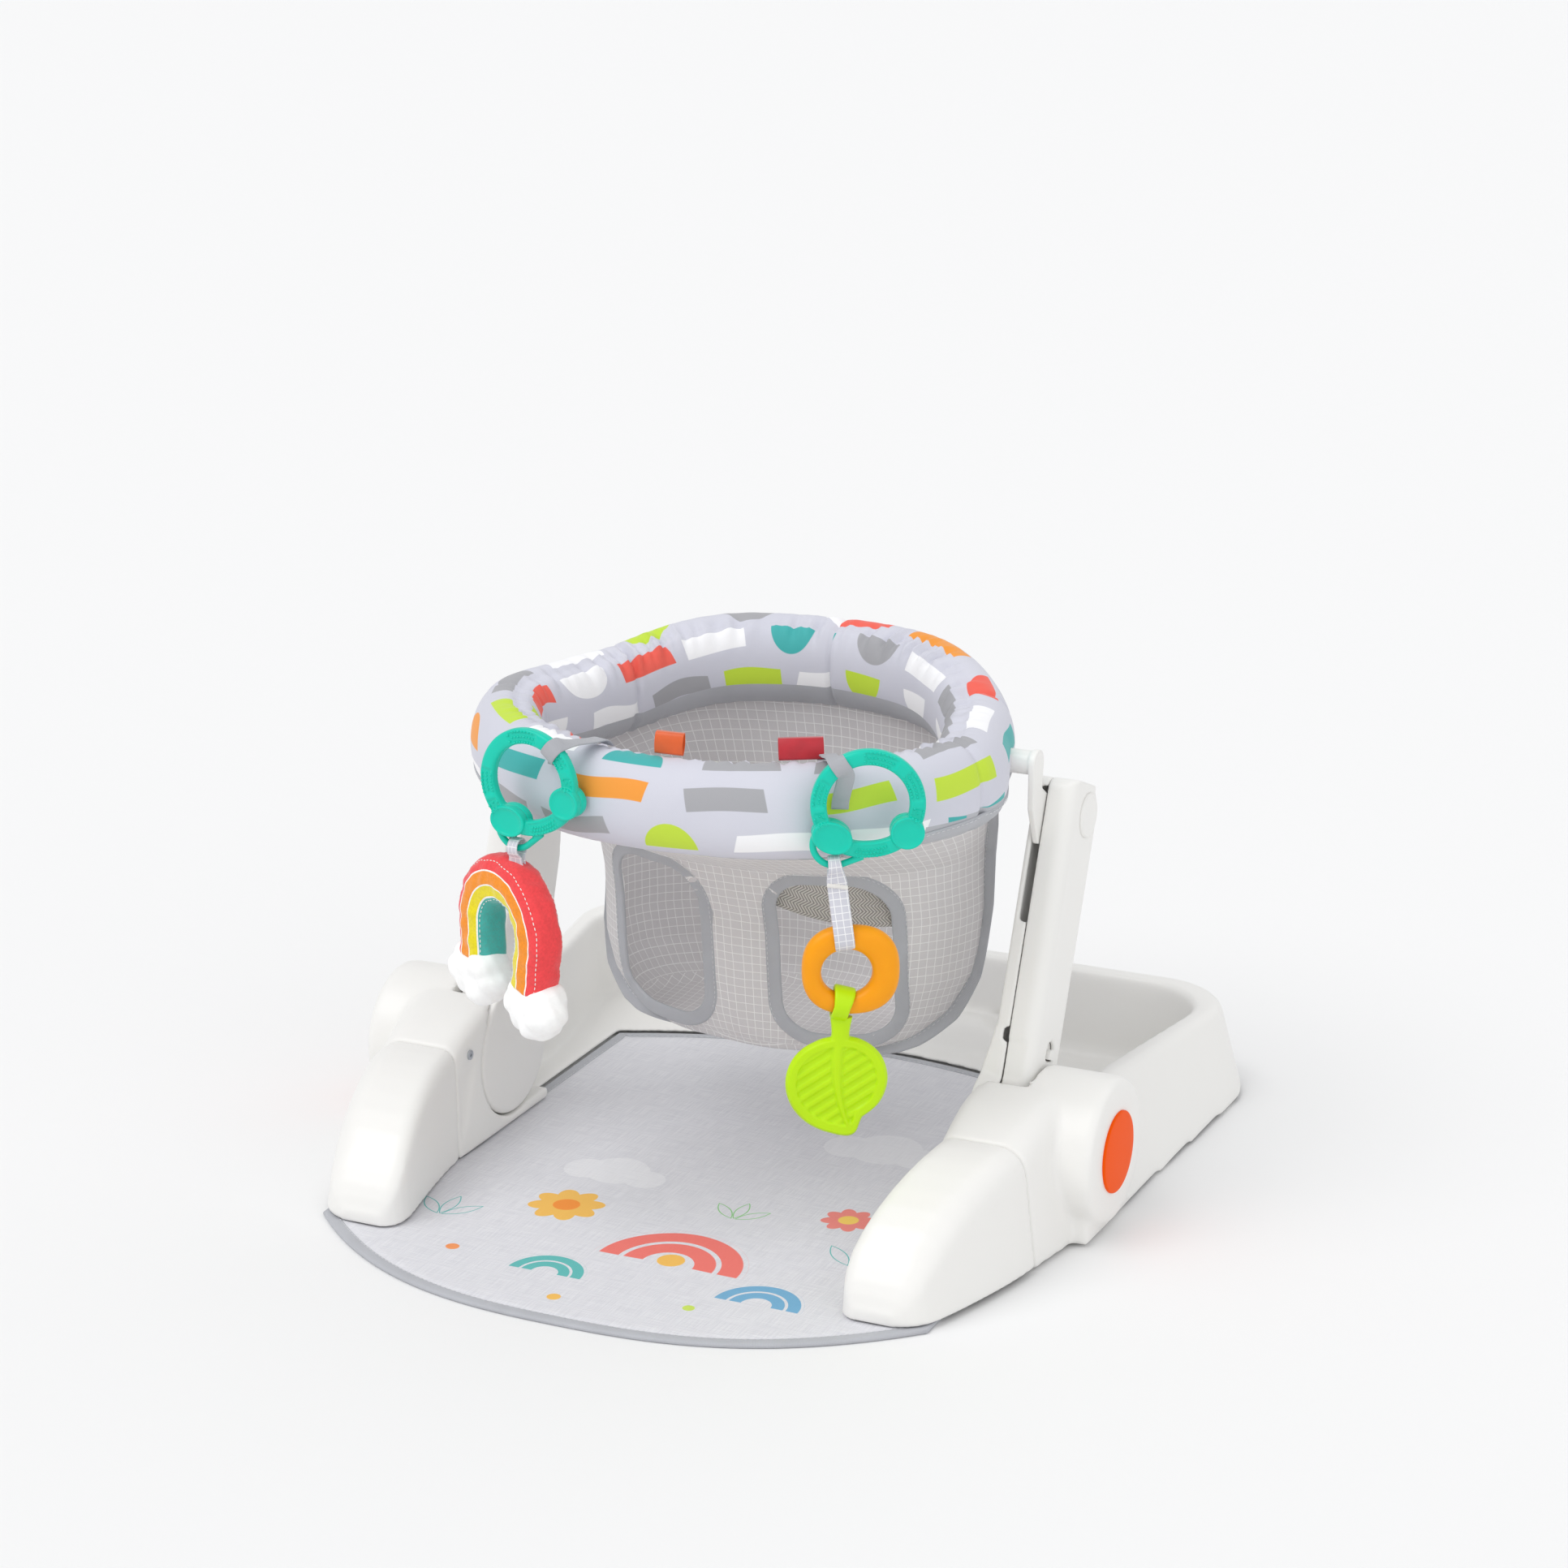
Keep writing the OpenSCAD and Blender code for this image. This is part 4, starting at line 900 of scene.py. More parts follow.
class Repeat:
    """A Geometry Nodes tree that sets a small shape along lines or on points."""

    def __init__(self, name: str) -> None:
        """Build the tree with its named inputs."""
        self.tree = bpy.data.node_groups.new(name, "GeometryNodeTree")
        face = self.tree.interface
        face.new_socket(name="Geometry", in_out="INPUT", socket_type="NodeSocketGeometry")
        self.names = {}
        for label, kind, value in (("Pitch", "NodeSocketFloat", 0.004), ("Length", "NodeSocketFloat", 0.003),
                                   ("Width", "NodeSocketFloat", 0.0008), ("Height", "NodeSocketFloat", 0.0006),
                                   ("Along lines", "NodeSocketBool", True), ("Seed", "NodeSocketInt", 7),
                                   ("Finish", "NodeSocketMaterial", None)):
            made = face.new_socket(name=label, in_out="INPUT", socket_type=kind)
            if value is not None:
                made.default_value = value
            self.names[label] = made.identifier
        face.new_socket(name="Geometry", in_out="OUTPUT", socket_type="NodeSocketGeometry")
        given = self.add("NodeGroupInput")
        curve = self.add("GeometryNodeMeshToCurve", None, {0: given["Geometry"]})
        even = self.add("GeometryNodeResampleCurve", {"mode": "LENGTH"}, {0: curve[0], "Length": given["Pitch"]})
        switch = self.add("GeometryNodeSwitch", {"input_type": "GEOMETRY"}, {
            "Switch": given["Along lines"], "False": given["Geometry"], "True": even[0]})
        facing = self.add("GeometryNodeInputNamedAttribute", {"data_type": "FLOAT_VECTOR"}, {"Name": "facing"})[0]
        align = "FunctionNodeAlignRotationToVector"
        first = self.add(align, {"axis": "X"}, {"Vector": self.add("GeometryNodeInputTangent")[0]})
        second = self.add(align, {"axis": "Z", "pivot_axis": "AUTO"}, {"Vector": facing})
        third = self.add(align, {"axis": "Z", "pivot_axis": "X"}, {"Rotation": first[0], "Vector": facing})
        turn = self.add("GeometryNodeSwitch", {"input_type": "ROTATION"}, {
            "Switch": given["Along lines"], "False": second[0], "True": third[0]})
        ball = self.add("GeometryNodeMeshUVSphere", None, {"Segments": 8, "Rings": 5, "Radius": 0.5})
        size = self.add("ShaderNodeCombineXYZ", None, {0: given["Length"], 1: given["Width"], 2: given["Height"]})
        shape = self.add("GeometryNodeTransform", None, {0: ball[0], "Scale": size[0]})
        vary = self.add("FunctionNodeRandomValue", {"data_type": "FLOAT"}, {2: 0.93, 3: 1.07, "Seed": given["Seed"]})
        placed = self.add("GeometryNodeInstanceOnPoints", None, {
            "Points": switch[0], "Instance": shape[0], "Rotation": turn[0], "Scale": vary[1]})
        real = self.add("GeometryNodeRealizeInstances", None, {0: placed[0]})
        smooth = self.add("GeometryNodeSetShadeSmooth", None, {0: real[0]})
        dressed = self.add("GeometryNodeSetMaterial", None, {0: smooth[0], "Material": given["Finish"]})
        self.add("NodeGroupOutput", None, {0: dressed[0]})

    def add(self, kind: str, settings: Optional[dict[str, Any]] = None,
            values: Optional[dict[Union[str, int], Any]] = None) -> Any:
        """Add a node, with settings and then values or links, and return its outputs."""
        return new_node(self.tree, kind, settings, values).outputs

    def lay(self, name: str, lines: Sequence[tuple[Array, Array, bool]], size: tuple[float, float, float],
            pitch: Optional[float], finish: Finish) -> bpy.types.Object:
        """Set the shape along lines or on points.

        Args:
            name: the new piece's name.
            lines: points, the directions that they face, and whether the line is closed.
            size: length, width and height of the shape, in millimetres.
            pitch: spacing along the lines, or None to use the points as they are.
            finish: the piece's finish.

        Returns:
            The piece, as a plain mesh.
        """
        points, facing, edges = [], [], []
        for path, normal, loop in lines:
            start = len(points)
            points += list(path)
            facing += list(np.broadcast_to(normal, path.shape))
            if pitch is not None:
                edges += [(start + i, start + i + 1) for i in range(len(path) - 1)]
                edges += [(start + len(path) - 1, start)] if loop else []
        mesh = bpy.data.meshes.new(name)
        mesh.from_pydata((np.array(points) * MM).tolist(), edges, [])
        mesh.attributes.new("facing", "FLOAT_VECTOR", "POINT").data.foreach_set(
            "vector", np.array(facing, np.float32).ravel())
        thing = bpy.data.objects.new(name, mesh)
        bpy.context.scene.collection.objects.link(thing)
        made = thing.modifiers.new("Repeat", "NODES")
        made.node_group = self.tree
        for label, value in (("Pitch", (pitch or 1) * MM), ("Length", size[0] * MM), ("Width", size[1] * MM),
                             ("Height", size[2] * MM), ("Along lines", pitch is not None), ("Seed", 7),
                             ("Finish", finish.material())):
            made[self.names[label]] = value
        bake(thing)
        return thing


# ------------------------------------------------------------------ sub-assemblies


@dataclass
class Base:
    """The base mouldings, their screws, discs and feet."""

    voxel: float = 2.0
    nose_voxel: float = 1.3
    hub_z: float = 50.0
    hub_face: float = 235.0
    disc_r: float = 24.0
    proud: float = 1.3

    def build(self) -> None:
        """Make the base's pieces."""
        plugs = [made(side) for side in (-1, 1) for made in (self.plug, self.liner)]
        shell = fused("base_shell", [copy_of(n) for n in (
            "rear_tray", "side_housing_left", "side_housing_right")] + plugs, self.voxel, 9, WHITE)
        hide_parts("rear_tray", "side_housing_left", "side_housing_right")
        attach(shell, "base")
        log.info("base_shell: %d faces", len(shell.data.polygons))
        for side in ("left", "right"):
            nose = fused("nose_shell_" + side, [copy_of("nose_" + side)], self.nose_voxel, 6, WHITE)
            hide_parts("nose_" + side)
            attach(nose, "base")
            disc = self.disc(side)
            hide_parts("hub_cap_" + side)
            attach(disc, "base")
            log.info("nose and disc, %s", side)
        dress("nose_screws", ZINC)
        dress("feet", FOOT)
        for side in ("left", "right"):
            dress("hub_axle_" + side, ZINC)

    def lathe(self, profile: Sequence[tuple[float, float]], side: int, steps: int = 96) -> Array:
        """Turn a profile round the hub's axis.

        Args:
            profile: radius and distance out from the middle, from the axis to the axis.
            side: -1 on the left, 1 on the right.
            steps: steps round.

        Returns:
            Rows of points.
        """
        a = np.arange(steps) * math.tau / steps
        return np.array([[(side * out, HUB_Y + r * c, self.hub_z + r * s) for c, s in zip(np.cos(a), np.sin(a))]
                         for r, out in profile])

    def plug(self, side: int) -> bpy.types.Object:
        """Return the seat behind an orange disc."""
        r, face = self.disc_r + 0.8, self.hub_face
        return stacked(f"plug_{side}", self.lathe([(r, face - 9), (r, face - 0.4)], side), WHITE)

    def liner(self, side: int) -> bpy.types.Object:
        """Return the strip that backs a rail's outer wall, which is thinner than the skin's grid."""
        y = np.array([27.0, 60, 80, 100, 120, 160, 205])
        low = np.array([226.2, 226.8, 227.9, 229.0, 230.05, 232.1, 234.5])
        high = np.array([202.4, 203.6, 206.5, 209.3, 212.2, 217.9, 224.1])
        cut = [(low - 1.2, 8.0), (high - 1.2, 50.0), (high - 5.7, 50.0), (low - 5.7, 8.0)]
        rows = np.stack([np.column_stack([side * x, y, np.full(len(y), z)]) for x, z in cut], 1)
        return stacked(f"liner_{side}", rows, WHITE)

    def disc(self, side: str) -> bpy.types.Object:
        """Return an orange disc with a chamfered rim, a little proud of its hub."""
        sign = -1 if side == "left" else 1
        r, face = self.disc_r, self.hub_face
        rim = [(r - 0.9 + 0.9 * math.cos(q), face + self.proud - 0.9 + 0.9 * math.sin(q))
               for q in np.linspace(0, math.pi / 2, 6)]
        crown = [(r * k, face + self.proud + 0.5 * (1 - k * k)) for k in (0.8, 0.55, 0.3, 0.05)]
        return stacked("hub_disc_" + side, self.lathe([(r, face - 3), (r, face - 0.2)] + rim + crown, sign), ORANGE)


def dress(node: str, finish: Finish) -> None:
    """Give a CAD node its finish."""
    thing = node_object(node)
    if not thing.material_slots:
        thing.data.materials.append(finish.material())
    for slot in thing.material_slots:
        slot.material = finish.material()


@dataclass
class Uprights:
    """The two uprights with their tabs and pivot caps."""

    voxel: float = 1.15

    def build(self) -> None:
        """Make the uprights' pieces."""
        for side in ("left", "right"):
            for shell in ("inner", "outer"):
                node = f"upright_{shell}_{side}"
                thing = fused(node + "_shell", [copy_of(node)], self.voxel, 4, WHITE)
                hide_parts(node)
                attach(thing, "uprights")
                log.info("%s: %d faces", thing.name, len(thing.data.polygons))
            dress("release_tab_" + side, WHITE)
            dress("pivot_cap_" + side, WHITE)
            bracket = fused("gusset_" + side, [copy_of("seat_bracket_" + side)], 0.8, 3, WHITE)
            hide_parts("seat_bracket_" + side)
            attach(bracket, "seat")


@dataclass
class Mat:
    """The floor mat with its binding."""

    half: float = 190.0
    thick: float = 3.0
    bind: float = 8.0

    def outline(self, grow: float) -> Array:
        """Return the mat's outline, moved out by grow."""
        front = [(190 * k, -246 + 76 * abs(k) ** 2.6) for k in np.linspace(-1, 1, 61)]
        right = [(190, y) for y in np.linspace(-166, -122, 10)] + [
            (190 - 25 * float(ease(np.array((y + 122) / 37))), y) for y in np.linspace(-118, -85, 9)]
        side = [(165, y) for y in np.linspace(-80, 118, 42)]
        back = [(165 * k, 198 - 40 * k * k) for k in np.linspace(1, -1, 51)]
        corner = [(165, 126), (165, 136), (165, 148)]
        path = front + right + side + corner + back + [(-x, y) for x, y in corner[::-1] + side[::-1] + right[::-1]]
        p = np.array(path, float)
        p = p[np.concatenate([[True], np.linalg.norm(np.diff(p, axis=0), axis=1) > 1e-6])]
        run = unit(np.roll(p, -1, 0) - np.roll(p, 1, 0))
        return p + np.stack([run[:, 1], -run[:, 0]], -1) * grow

    def build(self, stitches: Repeat) -> None:
        """Make the mat, its binding and its stitches."""
        rim = self.outline(-self.bind * 0.55)
        rings = [rim]
        middle = np.array([0.0, -20.0])
        for k in np.linspace(0.965, 0.03, 34):
            rings.append(middle + (rim - middle) * k)
        plan = np.concatenate(rings + [middle[None]])
        count = len(rim)
        wave = waves(plan, 5, 14, 0.05, 0.09)
        fade = np.clip(np.arange(len(plan)) / (count * 4.0), 0, 1)
        top = np.column_stack([plan[:, 0], plan[:, 1] + HUB_Y, self.thick - 0.35 + wave * fade])
        low = np.column_stack([plan[:, 0], plan[:, 1] + HUB_Y, np.full(len(plan), 0.25)])
        faces = [list(f) for f in quads(len(rings), count)]
        last = (len(rings) - 1) * count
        faces += [[last + i, last + (i + 1) % count, len(plan) - 1] for i in range(count)]
        shift = len(plan)
        lower = [[q + shift for q in f][::-1] for f in faces]
        rim_faces = [[i, i + shift, (i + 1) % count + shift, (i + 1) % count] for i in range(count)]
        mat = outward(piece("mat_cloth", np.vstack([top, low]), faces + lower + rim_faces, MAT_CLOTH))
        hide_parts("mat")
        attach(mat, "base")
        path = self.outline(-self.bind / 2)
        edge = np.column_stack([path[:, 0], path[:, 1] + HUB_Y, np.full(len(path), self.thick / 2)])
        bind = tape_along("mat_edge", edge, UP, self.bind, self.thick, BINDING, True)
        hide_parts("mat_binding")
        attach(bind, "base")
        inner = self.outline(-self.bind + 1.6)
        line = np.column_stack([inner[:, 0], inner[:, 1] + HUB_Y, np.full(len(inner), self.thick + 0.02)])
        row = stitches.lay("mat_stitches", [(line, UP, True)], (2.6, 0.55, 0.35), 3.6, THREAD)
        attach(row, "base")
        log.info("mat, binding and stitches")


@dataclass
class SeatRing:
    """The padded ring and what is sewn to it."""

    half: float = 145.0
    waist: float = 132.0
    front: float = 128.0
    back: float = 130.0
    z: float = 262.0
    rise: float = 14.0
    deep: float = 46.0
    tall: float = 58.0
    steps: int = 216
    sides: int = 40

    def mirrored(self, a: Array) -> Array:
        """Return angles in degrees brought over to the right-hand side, from 0 to 180."""
        return np.where(a % 360 > 180, 360 - a % 360, a % 360)

    def path(self, a: Array) -> Array:
        """Return points of the ring's middle line at angles in degrees, 0 at the front and 90 on the right."""
        fold = self.mirrored(a)
        half = self.half + (self.waist - self.half) * ease((fold - 78) / 24)
        reach = np.where(fold < 90, self.front, self.back)
        y = 10 - reach * np.cos(np.radians(fold))
        z = self.z + self.rise * ease((y - 60) / 70)
        return np.stack([half * np.sin(np.radians(a)), y + HUB_Y, z], -1)

    def frames(self, a: Array) -> tuple[Array, Array, Array]:
        """Return the path's points, and the outward and upward directions there."""
        run = unit(self.path(a + 1) - self.path(a - 1))
        out = unit(np.stack([run[..., 1], -run[..., 0], np.zeros(a.shape)], -1))
        return self.path(a), out, np.cross(out, run) * np.sign(np.cross(out, run)[..., 2:])

    def on_pad(self, a: Array, b: Array, lift: float = 0.0) -> Array:
        """Return points on the pad's skin.

        Args:
            a: angle round the ring, in degrees.
            b: angle round the section, 0 outward and 90 up, in degrees.
            lift: distance off the skin.

        Returns:
            The points.
        """
        p, out, up = self.frames(a)
        c, s = np.cos(np.radians(b)), np.sin(np.radians(b))
        return p + out * ((self.deep / 2 + 1 + lift) * c)[..., None] + up * ((self.tall / 2 + 1 + lift) * s)[..., None]

    def build(self, stitches: Repeat) -> None:
        """Make the pad, its seams, bindings, stitches and ribbon tags."""
        a = 180.0 + np.arange(self.steps) * 360 / self.steps
        p, out, up = self.frames(a)
        # the section starts low on the inner side, so that the cloth's cut is hidden under the ring
        cut = np.roll(oval(self.deep - 4, self.tall - 4, self.sides, 2.25), self.sides // 4 + 2, axis=0)
        points, faces, uv = sweep(p, out, up, cut, True)
        pad = outward(piece("ring_cover", points, faces, COVER, uv))
        b = np.degrees(np.arctan2(cut[:, 1], cut[:, 0]))
        held = np.tile((np.abs(b + 90) < 12).astype(float), self.steps)
        puff(pad, 4.0, 3.2, held)
        finer(pad)
        moved(pad, self.gathers)
        self.underside(pad)
        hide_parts("ring_pad")
        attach(pad, "seat")
        log.info("ring_cover: %d faces", len(pad.data.polygons))
        self.trims(stitches, pad)

    def where(self, points: Array) -> tuple[Array, Array, Array]:
        """Return, for points near the pad, the angle round the ring and the offsets out and up."""
        a = np.arange(0, 360, 0.5)
        line, out, up = self.frames(a)
        nearest = np.empty(len(points), int)
        for start in range(0, len(points), 4000):
            part = points[start:start + 4000]
            nearest[start:start + 4000] = np.argmin(
                ((part[:, None, :2] - line[None, :, :2]) ** 2).sum(-1), axis=1)
        away = points - line[nearest]
        return a[nearest], (away * out[nearest]).sum(-1), (away * up[nearest]).sum(-1)

    def gathers(self, points: Array, normals: Array) -> Array:
        """Draw the upper inner edge into small gathers, and sink the cross seams."""
        a, out, up = self.where(points)
        b = np.degrees(np.arctan2(up, out))
        rng = np.random.default_rng(11)
        ripple = np.zeros(len(points))
        for _ in range(9):
            count = int(rng.integers(40, 110))
            ripple += np.sin(np.radians(a) * count + rng.uniform(0, 6.3)) * rng.uniform(0.5, 1.0)
        inner = np.exp(-((b - 112) / 22) ** 2)
        low = np.exp(-((b + 96) / 20) ** 2)
        move = ripple * 0.85 * inner + ripple * 0.14 * low - 2.2 * np.exp(-((b - 106) / 9) ** 2)
        fold = self.mirrored(a)
        for at, width in ((76.0, 1.0), (118.0, 0.8), (180.0, 0.8)):
            move = move - 2.3 * np.exp(-((fold - at) / width) ** 2) * (1 - 0.5 * low)
        slow = np.sin(np.radians(a) * 7 + 1.0) * np.sin(np.radians(b) * 2) * 0.5
        return points + normals * (move + slow)[:, None]

    def hem(self, a: Array) -> Array:
        """Return the angle round the section at which the print ends, at angles round the ring."""
        fold = self.mirrored(a)
        at = np.array([0, 34, 40, 48, 63, 80, 104, 150, 180], float)
        return np.interp(fold, at, np.array([-92, -86, -60, -42, -31, -24, -22, -42, -52], float))

    def underside(self, pad: bpy.types.Object) -> None:
        """Give the cloth below the hem its plain grey finish."""
        mesh = pad.data
        mesh.materials.append(BINDING.material())
        a, out, up = self.where(vectors(mesh.polygons, "center") / MM)
        b = np.degrees(np.arctan2(up, out))
        under = (b < self.hem(a)) & (b > -150)
        mesh.polygons.foreach_set("material_index", under.astype(np.int32))

    def trims(self, stitches: Repeat, pad: bpy.types.Object) -> None:
        """Make the underside binding, its stitches and the tags."""
        a = np.linspace(0, 360, 241)[:-1]
        under, look = seated(pad, self.on_pad(a, self.hem(a) - 9), 0.2)
        under = blurred(under, 6, True)
        for _ in range(6):
            look = unit(np.roll(look, 1, 0) + np.roll(look, -1, 0) + 2 * look)
        tape = tape_along("ring_binding", under, look, 9.0, 1.6, BINDING, True)
        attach(tape, "seat")
        rows = []
        for start, end in ((42, 150), (210, 318)):
            q = np.linspace(start, end, 70)
            line, look = seated(pad, self.on_pad(q, self.hem(q) - 3.0), 1.2)
            rows.append((line, look, False))
        seam = stitches.lay("ring_stitches", rows, (2.6, 0.6, 0.5), 3.4, THREAD)
        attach(seam, "seat")
        for name, at, wide, tall, lean, finish in (("ribbon_tag_red", 34.0, 25.0, 12.5, 0.4, RED_SATIN),
                                                   ("ribbon_tag_orange", 3.5, 17.0, 12.5, 0.2, ORANGE_SATIN)):
            q = np.array([at])
            out, up = self.frames(q)[1:]
            # two layers that rise from the crown's seam, lean inward and meet in a soft fold
            t = np.linspace(0, 1, 12)
            rise = np.concatenate([t, t[::-1][1:]]) * tall
            apart = np.concatenate([0.5 + 1.3 * np.sin(t * 3.0), -0.5 - 1.3 * np.sin(t[::-1][1:] * 3.0)])
            foot = self.on_pad(q, np.array([100.0]), -2.0)[0]
            way = unit(up[0] - out[0] * lean)
            side = np.cross(way, np.cross(up[0], out[0]))
            path = foot + np.outer(rise, way) + np.outer(apart, unit(side))
            normal = np.outer(np.sign(apart), unit(side)) + np.outer(rise / tall, way) * 0.4
            tag = tape_along(name, path, normal, wide, 0.45, finish)
            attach(tag, "seat")
            if name == "ribbon_tag_red":
                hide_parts("ribbon_tags")
            log.info(name)


@dataclass
class Sling:
    """The sling seat below the ring, with its leg holes."""

    top: float = 234.0
    hole_x: float = 56.0
    hole_z: float = 138.0
    hole_w: float = 64.0
    hole_h: float = 102.0
    corner: float = 22.0
    across: int = 240
    rows: int = 74

    def ring(self, z: Array) -> Array:
        """Return the half width, front, back and widest place of the sling at heights, in millimetres."""
        heights = np.array([75.0, 84.0, 98.0, 120.0, 160.0, 195.0, 215.0, 234.0])
        table = np.array([[88, 8, 111, 60], [102, 3, 122, 62], [112, -1, 129, 64], [118, -4, 132, 66],
                          [121, -8, 136, 70], [123, -22, 138, 66], [130, -66, 137, 48], [136, -112, 134, 30]], float)
        return np.stack([np.interp(z, heights, table[:, k]) for k in range(4)], -1)

    def at(self, a: Array, z: Array) -> Array:
        """Return points of the sling at angles in degrees, 0 at the front and 90 on the right, and heights."""
        w, front, back, mid = np.moveaxis(self.ring(z), -1, 0)
        c, s = np.cos(np.radians(a)), np.sin(np.radians(a))
        y = mid - np.where(c > 0, mid - front, back - mid) * c
        return np.stack([w * s, y + HUB_Y, z], -1)

    def hole_gap(self, x: Array, z: Array) -> Array:
        """Return the distance to the nearest leg hole's edge, negative inside."""
        dx = np.abs(np.abs(x) - self.hole_x) - (self.hole_w / 2 - self.corner)
        dz = np.abs(z - self.hole_z) - (self.hole_h / 2 - self.corner)
        outside = np.hypot(np.maximum(dx, 0), np.maximum(dz, 0))
        return outside + np.minimum(np.maximum(dx, dz), 0) - self.corner

    def build(self, stitches: Repeat) -> None:
        """Make the sling, its bindings and the webbing inside."""
        a = np.arange(self.across) * 360 / self.across
        z = np.concatenate([np.linspace(self.top, 84, self.rows - 6), np.linspace(82, 75.5, 6)])
        grid = self.at(a[None, :], np.broadcast_to(z[:, None], (len(z), len(a))))
        # the pan: rings towards the middle, sagging a little
        pan = []
        middle = np.array([0.0, 60.0 + HUB_Y, 72.5])
        for k in np.linspace(0.93, 0.06, 14):
            ring = middle + (grid[-1] - middle) * k
            ring[:, 2] = 72.5 + 3.0 * k ** 2
            pan.append(ring)
        points = np.concatenate([grid.reshape(-1, 3)] + pan + [middle[None]])
        rows = len(z) + len(pan)
        faces = quads(rows, self.across)
        i, j = np.divmod(np.arange(len(faces)), self.across)
        around = run_of(self.at(np.append(a, 360.0), np.full(len(a) + 1, 150.0)))
        down = np.concatenate([[0], np.cumsum(np.full(rows - 1, 2.25))])
        uv = np.stack([np.stack([around[j + m], down[i + n]], -1) for n, m in ((0, 0), (0, 1), (1, 1), (1, 0))], 1)
        flat = i >= len(z) - 4
        uv[flat] = points[faces[flat]][..., :2]
        # the upper edge follows the ring, which rises at the back
        points[:, 2] += 17 * ease((points[:, 1] - HUB_Y - 50) / 70) * ease((points[:, 2] - 165) / 69)
        front = points[:, 1] < 55 + HUB_Y
        gap = self.hole_gap(points[:, 0], points[:, 2])
        inside = front & (gap < 0)
        keep = ~inside[faces].any(axis=1)
        # points on the rim of a hole are drawn onto its outline
        used = np.zeros(len(points), bool)
        used[faces[~keep].ravel()] = True
        rim = used & ~inside & front & (gap < 4.5)
        e = 0.05
        gx = (self.hole_gap(points[:, 0] + e, points[:, 2]) - self.hole_gap(points[:, 0] - e, points[:, 2])) / (2 * e)
        gz = (self.hole_gap(points[:, 0], points[:, 2] + e) - self.hole_gap(points[:, 0], points[:, 2] - e)) / (2 * e)
        points[rim, 0] -= (gx * gap)[rim]
        points[rim, 2] -= (gz * gap)[rim]
        last = (rows - 1) * self.across
        cap = [[last + k, last + (k + 1) % self.across, len(points) - 1] for k in range(self.across)]
        cap_uv = np.zeros((self.across * 3, 2))
        sag = waves(points, 3, 10, 0.035, 0.35)
        centre = np.array([0.0, 50.0 + HUB_Y, 150.0])
        points = points + unit((points - centre) * np.array([1, 1, 0.2])) * (sag * np.clip(gap / 20, 0, 1))[:, None]
        sling = piece("sling_cloth", points, list(faces[keep]) + cap, GRID,
                      np.concatenate([uv[keep].reshape(-1, 2), cap_uv]))
        wall = sling.modifiers.new("Wall", "SOLIDIFY")
        wall.thickness = 1.3 * MM
        wall.offset = 0.0
        bake(sling)
        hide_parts("seat_sling")
        extras = self.bindings(stitches)
        for thing in [sling] + extras:
            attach(thing, "seat")
            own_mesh(thing)

    def hole_path(self, side: int, grow: float) -> tuple[Array, Array]:
        """Return the outline of a leg hole on the cloth and the directions that the cloth faces there."""
        r = self.corner
        points = []
        for cx, cz, start in ((1, 1, 0), (-1, 1, 90), (-1, -1, 180), (1, -1, 270)):
            for q in np.radians(np.linspace(start, start + 90, 12)):
                points.append((self.hole_x + cx * (self.hole_w / 2 - r) + (r + grow) * math.cos(q),
                               self.hole_z + cz * (self.hole_h / 2 - r) + (r + grow) * math.sin(q)))
        flat = np.array(points)
        flat = np.concatenate([np.linspace(flat[k], flat[(k + 1) % len(flat)], 5)[:-1] for k in range(len(flat))])
        x, z = flat[:, 0], flat[:, 1]
        w, front, _, mid = np.moveaxis(self.ring(z), -1, 0)
        y = mid - (mid - front) * np.sqrt(np.clip(1 - (x / w) ** 2, 0, 1))
        slope = (mid - front) / w * (x / w) / np.sqrt(np.clip(1 - (x / w) ** 2, 0.02, 1))
        face = unit(np.stack([slope, -np.ones(len(x)), np.full(len(x), -0.12)], -1))
        path = np.stack([x, y + HUB_Y, z], -1)
        if side < 0:
            path, face = path * [-1, 1, 1], face * [-1, 1, 1]
            path, face = path[::-1], face[::-1]
        return path, face

    def bindings(self, stitches: Repeat) -> list[bpy.types.Object]:
        """Make the bound edges, the side seams and the webbing, and return them."""
        made, rows = [], []
        for side, word in ((-1, "left"), (1, "right")):
            path, face = self.hole_path(side, 3.2)
            made.append(tape_along("leg_binding_" + word, path, face, 9.0, 2.6, BINDING, True))
            row, look = self.hole_path(side, 6.2)
            rows.append((row + look * 1.4, look, True))
            seam = np.array([(96, 232), (95, 214), (93, 194), (92, 165), (90, 133), (86, 115), (78, 98), (68, 86),
                             (56, 78.5), (44, 75.6)], float)
            t = np.linspace(0, len(seam) - 1, 90)
            a, z = (blurred(np.interp(t, np.arange(len(seam)), seam[:, k]), 12) for k in range(2))
            path = self.at(a, z)
            out = unit((path - np.array([0, 55 + HUB_Y, 150.0])) * [1, 0.5, 0.6])
            sink = np.interp(t, [0, len(seam) - 2.2, len(seam) - 1], [2.0, 2.0, -5.0])
            path = path + out * (sink[:, None] - 2.0)
            path, out = path * [side, 1, 1], out * [side, 1, 1]
            run = unit(np.gradient(path, axis=0))
            flat = unit(np.cross(out, run))
            made.append(tape_along("side_binding_" + word, path + out * 3.0, flat, 8.5, 2.4, BINDING))
            rows.append((path + out * 1.2 + flat * 1.3, flat, False))
            rows.append((path + out * 1.2 - flat * 1.3, -flat, False))
        made.append(stitches.lay("sling_stitches", rows, (2.4, 0.5, 0.4), 3.3, THREAD))
        t = np.linspace(0, 1, 30)
        x = 22 + 74 * t
        w, front, _, mid = self.ring(np.array([178.0]))[0]
        y = mid - (mid - front) * np.sqrt(1 - (x / w) ** 2) + HUB_Y + 9
